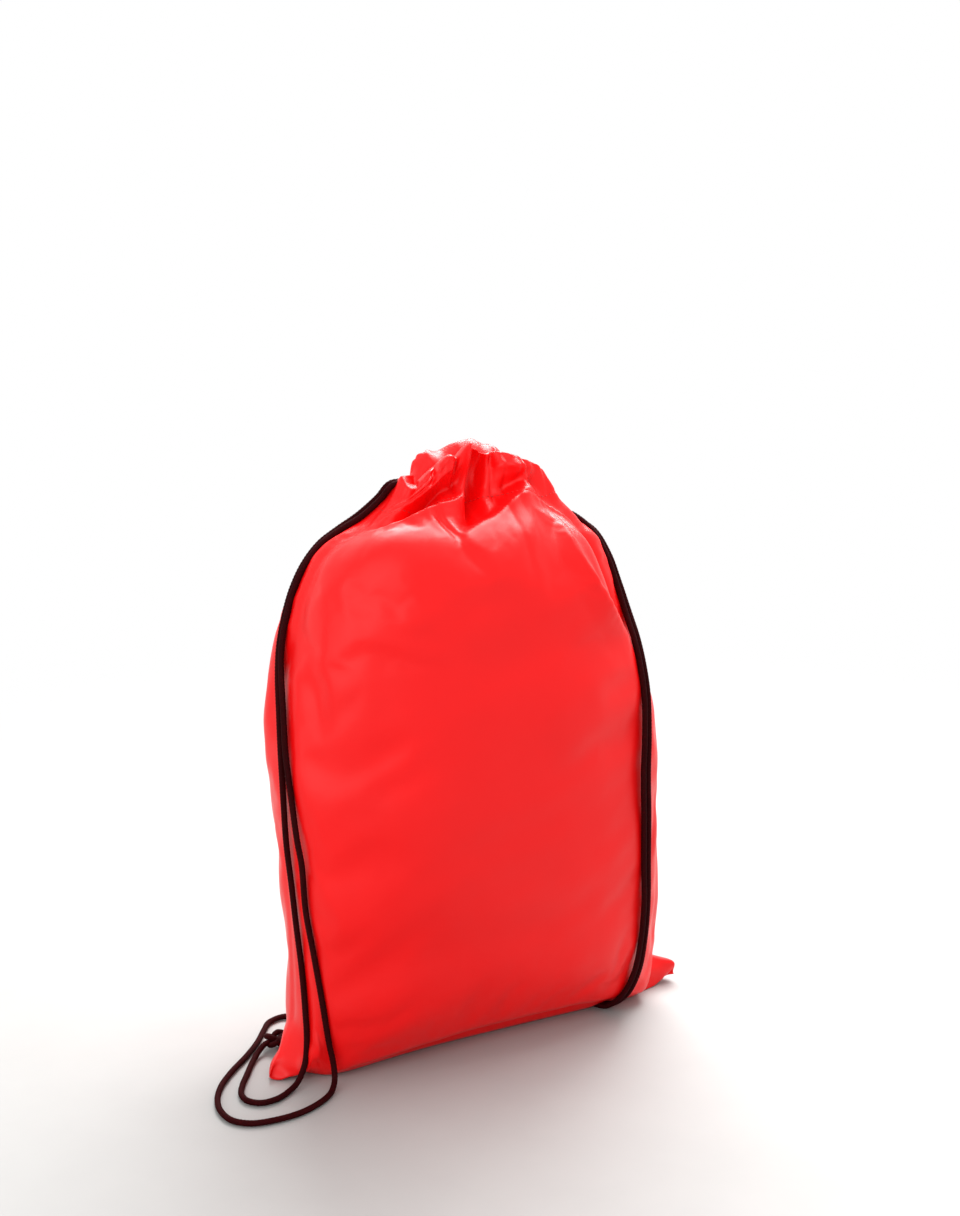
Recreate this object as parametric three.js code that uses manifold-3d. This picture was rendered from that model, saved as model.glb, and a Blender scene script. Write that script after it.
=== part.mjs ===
// A drawstring sports bag of thin woven polyester, stuffed full, drawn shut and standing on its base.
// Millimetres, +Z up, front towards -Y. The origin is the middle of the base on the floor.
import * as THREE from "three";
import { mergeVertices } from "three/addons/utils/BufferGeometryUtils.js";
import Module from "manifold-3d";

// Stuffed body: widths across the side seams, and how far each panel swells from them
const BAG_HEIGHT = 391; // floor to the top edge of the gathered hem
const LOW_HEIGHT = 95;
const LOW_WIDTH = 252;
const LOW_SWELL = 64;
const LOW_SWELL_HEIGHT = 71;
const FULL_HEIGHT = 222; // height of the fullest section
const FULL_WIDTH = 256;
const FULL_SWELL = 69;
const FULL_LEAN = -8; // how far the fullest section leans to the right
const SHOULDER_DROP = 69; // from the hem's top edge down to the shoulders
const SHOULDER_WIDTH = 194;
const SHOULDER_SWELL = 58;
const SHOULDER_LEAN = -13;
const SQUARENESS = 2.9; // exponent of the rounded sections, where 2 is an ellipse

// Base and corner ears
const BASE_DEPTH = 45; // bottom seam to the edge of the flat base
const BASE_ROUND = 12; // height of the rounding from the base up to the panels
const BASE_SWELL = 55; // how far a panel swells at the top of that rounding
const FRONT_DENT = 17; // how far the front edge draws back between the corners
const FRONT_LIFT = 13; // how far it lifts there
const HOLLOW_LEFT = 0.5; // shares of a half panel that this hollow spreads to the left and right
const HOLLOW_RIGHT = 0.8;
const DENT_FADE = 6; // powers by which the hollow fades up the panel
const LIFT_FADE = 8;
const LIFT_CURVE = 6; // power by which the underside curls up to the lifted edge
const FOOT_WIDTH = 262; // across the seams just above the ears
const EAR_SPAN = 308; // tip to tip
const EAR_HEIGHT = 34; // floor to the top of an ear
const EAR_LIFT = 5; // floor to an ear's tip
const EAR_TAPER = 0.8; // power by which an ear narrows the base towards its edge
const LEFT_EAR_BEND = 12; // how far an ear's tip turns to the front
const RIGHT_EAR_BEND = 8;
const SEAM_TURN = 0.62; // share of a half panel that lies level before it turns up to the seam

// Gathered mouth
const NECK_WIDTH = 116;
const NECK_SWELL = 26;
const MOUTH_WIDTH = 90;
const MOUTH_SWELL = 21;
const MOUTH_LEAN = -5;
const HEM_HEIGHT = 26; // height of the drawcord channel
const HEM_SIDE_DROP = 15; // how much lower the hem is at the side seams
const HEM_DROOP_START = 0.55; // share of the panel above which the seams draw it down at the sides
const SLIT_DEPTH = 24; // how far the closed lips reach down inside the mouth
const SLIT_SPAN = 0.8; // length of the line they close on, as a share of the mouth

// Folds are strokes on a panel. Each point gives its place across the panel, from -1 at the left seam
// to 1 at the right, its distance below the hem's top edge, and how deep it is pressed in there.
const PANEL_WIDTH = 350; // flat width of a panel, from seam to seam
const FOLD_SHARPNESS = 1.4; // power of a stroke's fall from its middle to its edge
const SEAM_HOLD = 8; // power by which folds fade out at the seams
const FRONT_FOLDS = [
  { width: 42, points: [[0.09, 0, 11], [0, 26, 17], [-0.06, 40, 13], [-0.11, 58, 0]] },
  { width: 15, points: [[-0.94, 38, 1], [-0.72, 32, 6], [-0.5, 26, 10], [-0.28, 20, 11], [-0.08, 17, 4]] },
  { width: 14, points: [[-0.93, 50, 0], [-0.75, 44, -2], [-0.5, 37, -4], [-0.3, 32, -5], [-0.1, 28, -3]] },
  { width: 16, points: [[-0.11, 62, 0], [0.06, 38, -5], [0.33, 18, -5], [0.46, 9, 0]] },
  { width: 34, points: [[0.72, 46, 0], [0.66, 80, 9], [0.64, 105, 11], [0.72, 145, 0]] },
  { width: 30, points: [[0.66, 2, -4], [0.8, 18, -10], [0.85, 36, -8], [0.87, 54, 0]] },
  { width: 18, points: [[0.47, 38, 0], [0.35, 66, -3], [0.34, 88, -5], [0.42, 114, -5], [0.6, 140, 0]] },
  { width: 22, points: [[-0.94, 130, 0], [-0.8, 160, 4], [-0.79, 205, 0]] },
  { width: 20, points: [[-0.72, 0, 6], [-0.72, 22, 0]] },
  { width: 18, points: [[-0.4, 0, 7], [-0.36, 16, 3], [-0.3, 22, 0]] },
  { width: 16, points: [[-0.14, 0, 6], [-0.12, 18, 0]] },
  { width: 18, points: [[0.38, 0, 6], [0.4, 14, 0]] },
];
const BACK_FOLDS = [
  { width: 24, points: [[-0.8, 24, 0], [-0.4, 25, 6], [0.4, 25, 6], [0.8, 24, 0]] },
  { width: 36, points: [[-0.52, 0, 8], [-0.52, 50, 8], [-0.58, 110, 0]] },
  { width: 30, points: [[-0.8, 4, -4], [-0.84, 26, -8], [-0.88, 52, -4], [-0.9, 80, 0]] },
  { width: 26, points: [[-0.28, 0, 8], [-0.3, 40, 6], [-0.34, 84, 0]] },
  { width: 44, points: [[0.02, 0, 10], [0, 40, 12], [0.03, 105, 0]] },
  { width: 26, points: [[0.3, 0, 8], [0.31, 40, 6], [0.35, 90, 0]] },
  { width: 36, points: [[0.55, 0, 7], [0.55, 50, 8], [0.6, 115, 0]] },
  { width: 30, points: [[0.8, 4, -4], [0.84, 26, -8], [0.88, 52, -4], [0.9, 80, 0]] },
];

// Drawcords: two strands of braided cord hang from each side of the hem. Each route runs from the hem to
// the corner knot, over the shoulder and down the side, then along the floor.
const CORD_DIAMETER = 4;
const CORD_SIDES = 8;
const CORD_STEP = 2.4; // length of one straight piece of the tube, in cord diameters
const CLEARANCE = 0.35; // gap that the fabric keeps to a cord
const CORD_ROUTES = {
  left_cord_back: [
    [-43, 6, 371], [-54.5, 8.5, 370], [-62, 11, 361.5], [-73.5, 15, 351], [-86, 18.5, 342.5],
    [-97.5, 20, 334.5], [-108.5, 19.5, 322.5], [-117.5, 18, 307], [-124, 15, 291], [-130, 9, 275],
    [-134, 2, 259], [-137, -6, 241], [-139, -12, 217], [-139, -14.5, 186], [-137.5, -13.5, 158],
    [-134.5, -12.5, 130], [-132, -12.5, 102], [-130.5, -16, 74], [-130.5, -20.5, 46], [-131, -23, 28],
    [-133.5, -25, 13], [-140, -29, 4.5], [-148, -34, 2.3], [-158.5, -39.5, 2.3], [-168.5, -39.5, 2.3],
    [-175, -33, 2.3], [-175.5, -24, 2.3], [-171, -13.5, 2.3], [-163, -1, 2.3], [-154.5, 12, 2.5],
    [-147.5, 20, 4], [-140.9, 24.2, 6.4],
  ],
  left_cord_front: [
    [-43, 1, 371], [-54.5, 3.5, 370], [-62, 6.5, 361], [-73.5, 10.5, 350.5], [-86, 13.8, 343],
    [-98, 15.3, 335.2], [-109.5, 14.8, 322.8], [-118.3, 13.2, 307.4], [-124.8, 10, 291],
    [-130.5, 4, 275], [-133.7, -3, 258], [-136.2, -11, 240], [-138.6, -19, 217], [-138, -25, 190],
    [-136.5, -28.5, 165], [-134, -29, 148], [-131, -26.5, 116], [-127.5, -28.5, 89], [-124, -32, 58],
    [-121, -35, 29], [-119, -37, 14], [-120, -40.5, 6], [-125, -47, 2.5], [-134, -54.5, 2.3],
    [-150, -61.5, 2.3], [-166, -63, 2.3], [-182.5, -60, 2.3], [-191.5, -51.5, 2.3], [-194, -38, 2.3],
    [-191, -23.5, 2.3], [-183.5, -9, 2.3], [-171, 6, 2.3], [-155.5, 21, 2.3], [-142, 36, 2.3],
    [-132, 50, 2.3], [-124, 60, 2.3], [-112.5, 63, 2.3], [-103.5, 56, 2.3], [-105, 46, 2.5],
    [-115, 39.5, 4.3], [-126, 32, 6.5],
  ],
  right_cord_front: [
    [31, 4, 371.5], [42.5, 6.3, 368.8], [49.4, 7.8, 359.3], [59.7, 3.3, 346.2], [69, -6, 341.5],
    [76.7, -16, 332.5],
    [83.3, -23.2, 316.8], [88, -28, 299], [91, -35, 280.5], [92, -44, 265.5], [92.8, -50.5, 249.5],
    [94.3, -54, 229.7], [93, -57.7, 205], [91.7, -59.2, 178], [93.7, -57.8, 148], [96, -55.2, 117],
    [99, -52, 84], [99, -48.8, 57], [96.5, -45.5, 34], [91, -40.5, 17], [86, -30, 5.5], [83, -18, 2.3],
    [82, 0, 2.3], [81.5, 20, 2.3], [82.5, 42, 2.3], [86, 61, 2.3], [96.5, 75, 2.3], [112, 79.5, 2.3],
    [125, 72, 2.3], [130, 58, 2.3], [130.5, 46, 3.6], [130.6, 35.6, 6.5],
  ],
  right_cord_back: [
    [32, 9, 371], [44, 11.5, 369], [51.6, 12.4, 359.4], [62.4, 8.2, 345.8], [71.8, -2, 339.2],
    [80.7, -12, 331.3], [87.2, -19.5, 316.5], [92, -24.5, 299], [95.5, -31.5, 280.5],
    [96.7, -40.3, 265.3], [97.3, -47.2, 249.5], [98.8, -51, 229.7], [97.5, -55.4, 205],
    [96.4, -57.2, 178], [98.5, -55.6, 148], [100.7, -53, 117], [103.5, -49.5, 84], [103.7, -46.5, 57],
    [101.4, -43.8, 34], [96, -39.5, 17], [91, -29, 5.8], [88, -18, 2.3], [87, 0, 2.3], [86.5, 20, 2.3],
    [87.5, 40, 2.3], [91, 56, 2.3], [99.5, 68, 2.3], [111, 71, 2.3], [120, 64.5, 2.3], [122, 53, 2.6],
    [121.5, 42, 4.5], [125.2, 32.8, 6.5],
  ],
};

// Corner knots: the ends of the two strands are tied behind each ear, and their root is sewn into the corner
const KNOT_PLACE = { across: 132.3, back: 26.4, up: 7 };
const KNOT_SIZE = 4.7; // radius of the tie's middle line
const KNOT_STEPS = 36;
const ROOT_LENGTH = 24; // from the knot's middle into the corner
const ROOT_SLOPE = 24; // degrees that the root climbs

// Strips that the surface is made of: across one panel, and up the base, the walls and the lips
const COLUMNS = 44;
const BASE_ROWS = 4;
const WALL_ROWS = 28;
const LIP_ROWS = 3;
const SHARE_STEP = 0.004; // step on a panel over which its slope is measured
const WELD = 0.001; // corners nearer than this are one

const wasm = await Module();
wasm.setup();

const { lerp, smoothstep, clamp } = THREE.MathUtils;
const shoulderHeight = BAG_HEIGHT - SHOULDER_DROP;

// How far across and how far out the rounded section is at place s, as shares of its half width and swell
function section(s) {
  const turn = (s * Math.PI) / 2;
  const across = Math.sign(s) * Math.abs(Math.sin(turn)) ** (2 / SQUARENESS);
  const out = Math.abs(Math.cos(turn)) ** (2 / SQUARENESS);
  return { across, out };
}

// Curves of (distance out, height) up the middle of a panel and up the side seams
function upright(...points) {
  return new THREE.SplineCurve(points.map(([out, z]) => new THREE.Vector2(out, z)));
}

const panelCurve = upright(
  [BASE_DEPTH, 0],
  [BASE_SWELL, BASE_ROUND],
  [LOW_SWELL, LOW_SWELL_HEIGHT],
  [FULL_SWELL, FULL_HEIGHT],
  [SHOULDER_SWELL, shoulderHeight],
  [NECK_SWELL, BAG_HEIGHT - HEM_HEIGHT],
  [MOUTH_SWELL, BAG_HEIGHT],
);
const seamCurve = upright(
  [FOOT_WIDTH / 2, EAR_HEIGHT],
  [LOW_WIDTH / 2, LOW_HEIGHT],
  [FULL_WIDTH / 2, FULL_HEIGHT],
  [SHOULDER_WIDTH / 2, shoulderHeight],
  [NECK_WIDTH / 2, BAG_HEIGHT - HEM_SIDE_DROP - HEM_HEIGHT],
  [MOUTH_WIDTH / 2, BAG_HEIGHT - HEM_SIDE_DROP],
);
const panelLength = panelCurve.getLength();

// The front edge of the base draws back and lifts between the corners, more so to the right
function frontHollow(s, side) {
  const spread = s < 0 ? HOLLOW_LEFT : HOLLOW_RIGHT;
  return side < 0 ? Math.exp(-((s / spread) ** 2)) : 0;
}

// Sideways lean of the stuffed body at a height
function leanAt(z) {
  const full = smoothstep(z, 0, FULL_HEIGHT) * FULL_LEAN;
  const shoulder = lerp(full, SHOULDER_LEAN, smoothstep(z, FULL_HEIGHT, shoulderHeight));
  return lerp(shoulder, MOUTH_LEAN, smoothstep(z, shoulderHeight, BAG_HEIGHT));
}

// Underside from the bottom seam out to the base's edge; side is -1 on the front and 1 on the back
function basePoint(s, share, side) {
  const { across, out } = section(s);
  const hollow = frontHollow(s, side);
  const turnUp = smoothstep(Math.abs(s), SEAM_TURN, 1);
  const halfWidth = lerp(EAR_SPAN, FOOT_WIDTH, share ** EAR_TAPER) / 2;
  const bend = (s < 0 ? LEFT_EAR_BEND : RIGHT_EAR_BEND) * turnUp ** 2 * (1 - share);
  const y = side * (BASE_DEPTH - FRONT_DENT * hollow) * share * out - bend;
  const z = lerp(EAR_LIFT, EAR_HEIGHT, share) * turnUp + FRONT_LIFT * hollow * share ** LIFT_CURVE;
  return new THREE.Vector3(halfWidth * across, y, z);
}

// Panels from the base's edge up to the hem's top edge, before folding
function wallPoint(s, share, side) {
  const { across, out } = section(s);
  const panel = panelCurve.getPointAt(share);
  const seam = seamCurve.getPointAt(share);
  const hollow = frontHollow(s, side);
  const turnUp = smoothstep(Math.abs(s), SEAM_TURN, 1);
  const droop = lerp(turnUp, across ** 2, smoothstep(share, HEM_DROOP_START, 1));
  const z = lerp(panel.y, seam.y, droop);
  const lift = FRONT_LIFT * hollow * (1 - share) ** LIFT_FADE;
  const swell = panel.x - FRONT_DENT * hollow * (1 - share) ** DENT_FADE;
  return new THREE.Vector3(seam.x * across + leanAt(z), side * swell * out, z + lift);
}

// How deep the strokes press in at a place on the panel
function foldDepth(folds, s, down) {
  const here = new THREE.Vector2((s * PANEL_WIDTH) / 2, down);
  let depth = 0;
  for (const { width, points } of folds) {
    let nearest = Infinity;
    let pressed = 0;
    for (let i = 0; i + 1 < points.length; i += 1) {
      const a = new THREE.Vector2((points[i][0] * PANEL_WIDTH) / 2, points[i][1]);
      const b = new THREE.Vector2((points[i + 1][0] * PANEL_WIDTH) / 2, points[i + 1][1]);
      const run = b.clone().sub(a);
      const along = clamp(here.clone().sub(a).dot(run) / run.lengthSq(), 0, 1);
      const gap = here.distanceTo(a.addScaledVector(run, along));
      if (gap < nearest) {
        nearest = gap;
        pressed = lerp(points[i][2], points[i + 1][2], along);
      }
    }
    depth += pressed * Math.max(0, 1 - nearest / width) ** FOLD_SHARPNESS;
  }
  return depth;
}

// Panels with the folds pressed in square to the surface, and held flat along the seams
function foldedWall(s, share, side) {
  const s0 = clamp(s, -1 + SHARE_STEP, 1 - SHARE_STEP);
  const share0 = clamp(share, SHARE_STEP, 1 - SHARE_STEP);
  const along = wallPoint(s0 + SHARE_STEP, share0, side).sub(wallPoint(s0 - SHARE_STEP, share0, side));
  const up = wallPoint(s0, share0 + SHARE_STEP, side).sub(wallPoint(s0, share0 - SHARE_STEP, side));
  const inward = along.cross(up).normalize().multiplyScalar(side);
  const depth = foldDepth(side < 0 ? FRONT_FOLDS : BACK_FOLDS, s, (1 - share) * panelLength);
  return wallPoint(s, share, side).addScaledVector(inward, depth * (1 - s ** SEAM_HOLD));
}

// Lips inside the mouth, turned in from the hem's top edge and closed along one line
function lipPoint(s, share, side) {
  const { out } = section(s);
  const hem = foldedWall(s, 1, side);
  const smoothHem = wallPoint(s, 1, side);
  const x = lerp(hem.x, lerp(MOUTH_LEAN, smoothHem.x, SLIT_SPAN), share);
  const z = lerp(hem.z, smoothHem.z, share) - SLIT_DEPTH * out * share ** 2;
  return new THREE.Vector3(x, hem.y * (1 - share) ** 2, z);
}

// One ring of points, from left to right along the front and back along the rear
function ring(pointAt) {
  const points = [];
  for (const side of [-1, 1]) {
    for (let j = 0; j < COLUMNS; j += 1) {
      points.push(pointAt(side * ((2 * COLUMNS - 2 * j) / COLUMNS - 1), side));
    }
  }
  return points;
}

// The whole skin as rings: the base from its seam outwards, the walls, then the lips
function pouchGeometry() {
  const rings = [];
  for (let k = 0; k < BASE_ROWS; k += 1) {
    rings.push(ring((s, side) => basePoint(s, k / BASE_ROWS, side)));
  }
  for (let k = 0; k <= WALL_ROWS; k += 1) {
    rings.push(ring((s, side) => foldedWall(s, k / WALL_ROWS, side)));
  }
  for (let k = 1; k <= LIP_ROWS; k += 1) {
    rings.push(ring((s, side) => lipPoint(s, k / LIP_ROWS, side)));
  }
  const around = 2 * COLUMNS;
  const faces = [];
  for (let k = 0; k + 1 < rings.length; k += 1) {
    for (let j = 0; j < around; j += 1) {
      const a = k * around + j;
      const b = k * around + ((j + 1) % around);
      faces.push(a, b, b + around, a, b + around, a + around);
    }
  }
  const positions = rings.flat().flatMap((p) => [p.x, p.y, p.z]);
  const geometry = new THREE.BufferGeometry();
  geometry.setAttribute("position", new THREE.Float32BufferAttribute(positions, 3));
  geometry.setIndex(faces);
  return mergeVertices(geometry, WELD);
}

// Corners shared between faces, as a closed body needs
function closed(geometry) {
  geometry.deleteAttribute("normal");
  geometry.deleteAttribute("uv");
  return mergeVertices(geometry, WELD);
}

function solid(geometry) {
  const triVerts = Uint32Array.from(geometry.index.array);
  const vertProperties = Float32Array.from(geometry.attributes.position.array);
  return new wasm.Manifold(new wasm.Mesh({ numProp: 3, vertProperties, triVerts }));
}

function fromSolid(body) {
  const mesh = body.getMesh();
  const geometry = new THREE.BufferGeometry();
  geometry.setAttribute("position", new THREE.BufferAttribute(mesh.vertProperties, 3));
  geometry.setIndex(new THREE.BufferAttribute(mesh.triVerts, 1));
  return geometry;
}

function roundSection(radius) {
  const corners = [];
  for (let i = 0; i < CORD_SIDES; i += 1) {
    const angle = (2 * Math.PI * i) / CORD_SIDES;
    corners.push(new THREE.Vector2(radius * Math.cos(angle), radius * Math.sin(angle)));
  }
  return new THREE.Shape(corners);
}

// A plain tube along a smooth curve through the route's points, grown by a gap all round
function cordTube(route, gap = 0) {
  const points = route.map((place) => new THREE.Vector3(...place));
  const extrudePath = new THREE.CatmullRomCurve3(points, false, "centripetal");
  const steps = Math.ceil(extrudePath.getLength() / (CORD_STEP * CORD_DIAMETER));
  points[0].addScaledVector(extrudePath.getTangent(0), -gap);
  points.at(-1).addScaledVector(extrudePath.getTangent(1), gap);
  extrudePath.updateArcLengths();
  const shape = roundSection(CORD_DIAMETER / 2 + gap);
  return closed(new THREE.ExtrudeGeometry(shape, { steps, extrudePath, bevelEnabled: false }));
}

// The root of a knot, drawn to the inside of its corner; hand is -1 on the left and 1 on the right
function rootTube(hand, gap = 0) {
  const climb = THREE.MathUtils.degToRad(ROOT_SLOPE);
  const start = new THREE.Vector3(hand * KNOT_PLACE.across, KNOT_PLACE.back, KNOT_PLACE.up);
  const reach = new THREE.Vector3(0, -Math.cos(climb), Math.sin(climb));
  const end = start.clone().addScaledVector(reach, ROOT_LENGTH);
  return cordTube([start.toArray(), end.toArray()], gap);
}

// A knot with its root, as one body
function knotGeometry(hand) {
  const tie = new THREE.TorusKnotGeometry(KNOT_SIZE, CORD_DIAMETER / 2, KNOT_STEPS, CORD_SIDES);
  tie.translate(hand * KNOT_PLACE.across, KNOT_PLACE.back, KNOT_PLACE.up);
  return fromSolid(solid(closed(tie)).add(solid(rootTube(hand))));
}

// The stuffed pouch, grooved where cords press into it and open where they enter the hem and the corners
function cutPouch() {
  let body = solid(pouchGeometry());
  for (const route of Object.values(CORD_ROUTES)) {
    body = body.subtract(solid(cordTube(route, CLEARANCE)));
  }
  for (const hand of [-1, 1]) {
    body = body.subtract(solid(rootTube(hand, CLEARANCE)));
  }
  return fromSolid(body);
}

const polyester = new THREE.MeshStandardMaterial({ color: 0xf01418, roughness: 0.45, metalness: 0 });
const braid = new THREE.MeshStandardMaterial({ color: 0x2d0306, roughness: 0.8, metalness: 0 });

const bag = new THREE.Group();
function addPiece(name, geometry, material) {
  const mesh = new THREE.Mesh(geometry, material);
  mesh.name = name;
  bag.add(mesh);
}

addPiece("pouch", cutPouch(), polyester);
for (const [name, route] of Object.entries(CORD_ROUTES)) {
  addPiece(name, cordTube(route), braid);
}
addPiece("left_knot", knotGeometry(-1), braid);
addPiece("right_knot", knotGeometry(1), braid);

export default bag;
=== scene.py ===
"""A stuffed drawstring sports bag of red satin with braided cords, dressed over its packed solids."""

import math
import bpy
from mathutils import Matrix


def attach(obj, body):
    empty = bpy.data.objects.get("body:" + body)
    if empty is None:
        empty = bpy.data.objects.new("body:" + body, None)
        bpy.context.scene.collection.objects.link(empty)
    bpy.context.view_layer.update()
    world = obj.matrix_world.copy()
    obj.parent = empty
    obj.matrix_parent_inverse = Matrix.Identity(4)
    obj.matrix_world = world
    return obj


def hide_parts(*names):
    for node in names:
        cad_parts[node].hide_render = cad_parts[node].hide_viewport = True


bl_info = {
    "name": "Drawstring sports bag",
    "version": (1, 0, 0),
    "blender": (4, 5, 0),
    "location": "View3D > Sidebar > Sports bag",
    "description": "Dresses a stuffed drawstring bag with satin, braid and stitching",
    "category": "Add Mesh",
}

import bpy
import numpy as np
from mathutils import Matrix, Vector

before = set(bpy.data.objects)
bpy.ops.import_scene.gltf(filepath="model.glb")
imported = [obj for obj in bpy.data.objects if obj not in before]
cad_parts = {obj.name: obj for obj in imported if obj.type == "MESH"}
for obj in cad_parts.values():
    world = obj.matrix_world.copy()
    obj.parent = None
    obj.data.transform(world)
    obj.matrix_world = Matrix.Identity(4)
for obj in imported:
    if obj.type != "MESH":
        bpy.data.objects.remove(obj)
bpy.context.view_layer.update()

# Shapes are worked out in millimetres and put into meshes in metres
MM = 0.001

# Stuffed body: widths across the side seams, and how far each panel swells from them
BAG_HEIGHT = 391
LOW_HEIGHT = 95
LOW_WIDTH = 252
LOW_SWELL = 64
LOW_SWELL_HEIGHT = 71
FULL_HEIGHT = 222
FULL_WIDTH = 256
FULL_SWELL = 69
FULL_LEAN = -8
SHOULDER_HEIGHT = 322
SHOULDER_WIDTH = 194
SHOULDER_SWELL = 58
SHOULDER_LEAN = -13
SQUARENESS = 2.9

# Base and corner ears
BASE_DEPTH = 45
BASE_ROUND = 12
BASE_SWELL = 55
FRONT_DENT = 17
FRONT_LIFT = 13
HOLLOW_LEFT = 0.5
HOLLOW_RIGHT = 0.8
DENT_FADE = 6
LIFT_FADE = 8
LIFT_CURVE = 6
FOOT_WIDTH = 262
EAR_SPAN = 308
EAR_HEIGHT = 34
EAR_LIFT = 5
EAR_TAPER = 0.8
LEFT_EAR_BEND = 12
RIGHT_EAR_BEND = 8
SEAM_TURN = 0.62

# The right ear narrows only between these shares of the base's depth, so its tip is blunt
BLUNT_EAR = (0.34, 0.68)

# Bulge of the left corner along the floor: how far it pushes out, its place and width across, and how fast it
# fades up the panel
CORNER_PUSH = 15
CORNER_PLACE = -0.84
CORNER_SPREAD = 0.1
CORNER_FADE = 14

# Gathered mouth
NECK_WIDTH = 116
NECK_SWELL = 26
MOUTH_WIDTH = 90
MOUTH_SWELL = 21
MOUTH_LEAN = -5
HEM_HEIGHT = 26
HEM_SIDE_DROP = 15
HEM_DROOP_START = 0.55
SLIT_DEPTH = 24
SLIT_SPAN = 0.8
PANEL_WIDTH = 350
SEAM_HOLD = 8

# Folds are strokes on a panel: widths above and below the stroke, how sharp it is, and points that give the
# place across (-1 at the left seam, 1 at the right), the distance below the hem's top edge, and the depth
SOFT, CREASE = False, True
CREASE_POWER = 1.4
STROKE_SAMPLES = 6
FRONT_FOLDS = [
    ((40, 40), CREASE, [(0.09, 0, 10), (0, 26, 14), (-0.06, 40, 11), (-0.11, 58, 0)]),
    ((9, 9), CREASE, [(-0.94, 41, 1), (-0.72, 33, 7), (-0.5, 26, 11), (-0.28, 20, 12), (-0.08, 17, 5)]),
    ((24, 42), SOFT, [(-0.9, 64, 0), (-0.55, 62, -4), (-0.2, 60, -5), (0.05, 60, -4), (0.25, 64, 0)]),
    ((4, 38), CREASE, [(-0.93, 48, 0), (-0.75, 42, -3), (-0.5, 35, -5), (-0.3, 30, -6), (-0.06, 25, -4)]),
    ((5, 6), CREASE, [(-0.3, 31, 1), (-0.2, 44, 5), (-0.11, 57, 2)]),
    ((6, 34), CREASE, [(-0.11, 60, 0), (-0.01, 46, -6), (0.1, 34, -9), (0.33, 17, -7), (0.46, 9, 0)]),
    ((30, 34), CREASE, [(0.72, 42, 0), (0.66, 76, 12), (0.63, 103, 14), (0.72, 150, 0)]),
    ((30, 30), SOFT, [(0.66, 2, -4), (0.8, 18, -11), (0.86, 40, -11), (0.88, 60, 0)]),
    ((5, 22), CREASE, [(0.47, 38, 0), (0.36, 66, -4.5), (0.35, 88, -7.5), (0.43, 114, -7.5), (0.62, 142, 0)]),
    ((22, 22), SOFT, [(-0.94, 130, 0), (-0.8, 160, 4), (-0.79, 205, 0)]),
    ((5, 5), CREASE, [(-1, 26, 0), (-0.75, 18, -3), (-0.51, 11, -4.5), (-0.23, 2, -2)]),
    ((6, 6), CREASE, [(-0.98, 34, 0), (-0.72, 26, -4), (-0.5, 19, -5), (-0.35, 13, -5), (-0.2, 8, -2)]),
    ((8, 7), CREASE, [(0, 2, 5), (-0.01, 18, 13), (-0.02, 30, 14), (-0.05, 45, 0)]),
    ((7, 7), SOFT, [(-0.07, 0, -8), (-0.06, 12, -7), (-0.05, 26, 0)]),
    ((5, 5), CREASE, [(-0.15, 0, 7), (-0.14, 12, 6), (-0.11, 24, 0)]),
    ((5, 5), CREASE, [(0.03, 0, 7), (0.02, 14, 6), (0.02, 24, 0)]),
    ((6, 10), CREASE, [(0.03, 12, 0), (0.14, 8, -5), (0.32, 6, -5), (0.56, 4, 0)]),
    ((7, 9), CREASE, [(0.05, 25, 3), (0.2, 20, 6), (0.4, 15, 5), (0.6, 16, 0)]),
    ((5, 8), CREASE, [(0.3, 30, 0), (0.48, 34, -2.5), (0.62, 48, -3), (0.7, 66, 0)]),
    ((14, 14), CREASE, [(-0.72, 0, 5), (-0.72, 14, 0)]),
    ((10, 10), CREASE, [(-0.4, 0, 7), (-0.36, 12, 3), (-0.3, 20, 0)]),
    ((14, 14), CREASE, [(0.38, 0, 6), (0.4, 14, 0)]),
    ((20, 20), SOFT, [(0.9, 190, 0), (0.92, 250, -9), (0.93, 310, -16), (0.94, 360, -20), (0.95, 400, -10)]),
    ((12, 12), SOFT, [(0.7, 240, 0), (0.64, 270, 2.5), (0.53, 318, 0)]),
    ((9, 9), SOFT, [(0.52, 335, 0), (0.48, 352, -1.5), (0.44, 380, 0)]),
    ((9, 9), SOFT, [(0.44, 340, 0), (0.4, 356, -1.2), (0.38, 378, 0)]),
]
BACK_FOLDS = [
    ((24, 24), CREASE, [(-0.8, 24, 0), (-0.4, 25, 6), (0.4, 25, 6), (0.8, 24, 0)]),
    ((36, 36), CREASE, [(-0.52, 0, 8), (-0.52, 50, 8), (-0.58, 110, 0)]),
    ((30, 30), SOFT, [(-0.8, 4, -6), (-0.84, 26, -11), (-0.88, 52, -7), (-0.9, 80, 0)]),
    ((26, 26), CREASE, [(-0.28, 0, 8), (-0.3, 40, 6), (-0.34, 84, 0)]),
    ((44, 44), CREASE, [(0.02, 0, 10), (0, 40, 12), (0.03, 105, 0)]),
    ((26, 26), CREASE, [(0.3, 0, 8), (0.31, 40, 6), (0.35, 90, 0)]),
    ((36, 36), CREASE, [(0.55, 0, 7), (0.55, 50, 8), (0.6, 115, 0)]),
    ((30, 30), SOFT, [(0.8, 4, -4), (0.84, 26, -8), (0.88, 52, -4), (0.9, 80, 0)]),
    ((34, 34), SOFT, [(-0.9, 90, 0), (-0.92, 140, -9), (-0.92, 190, -8), (-0.93, 250, 0)]),
]
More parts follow.
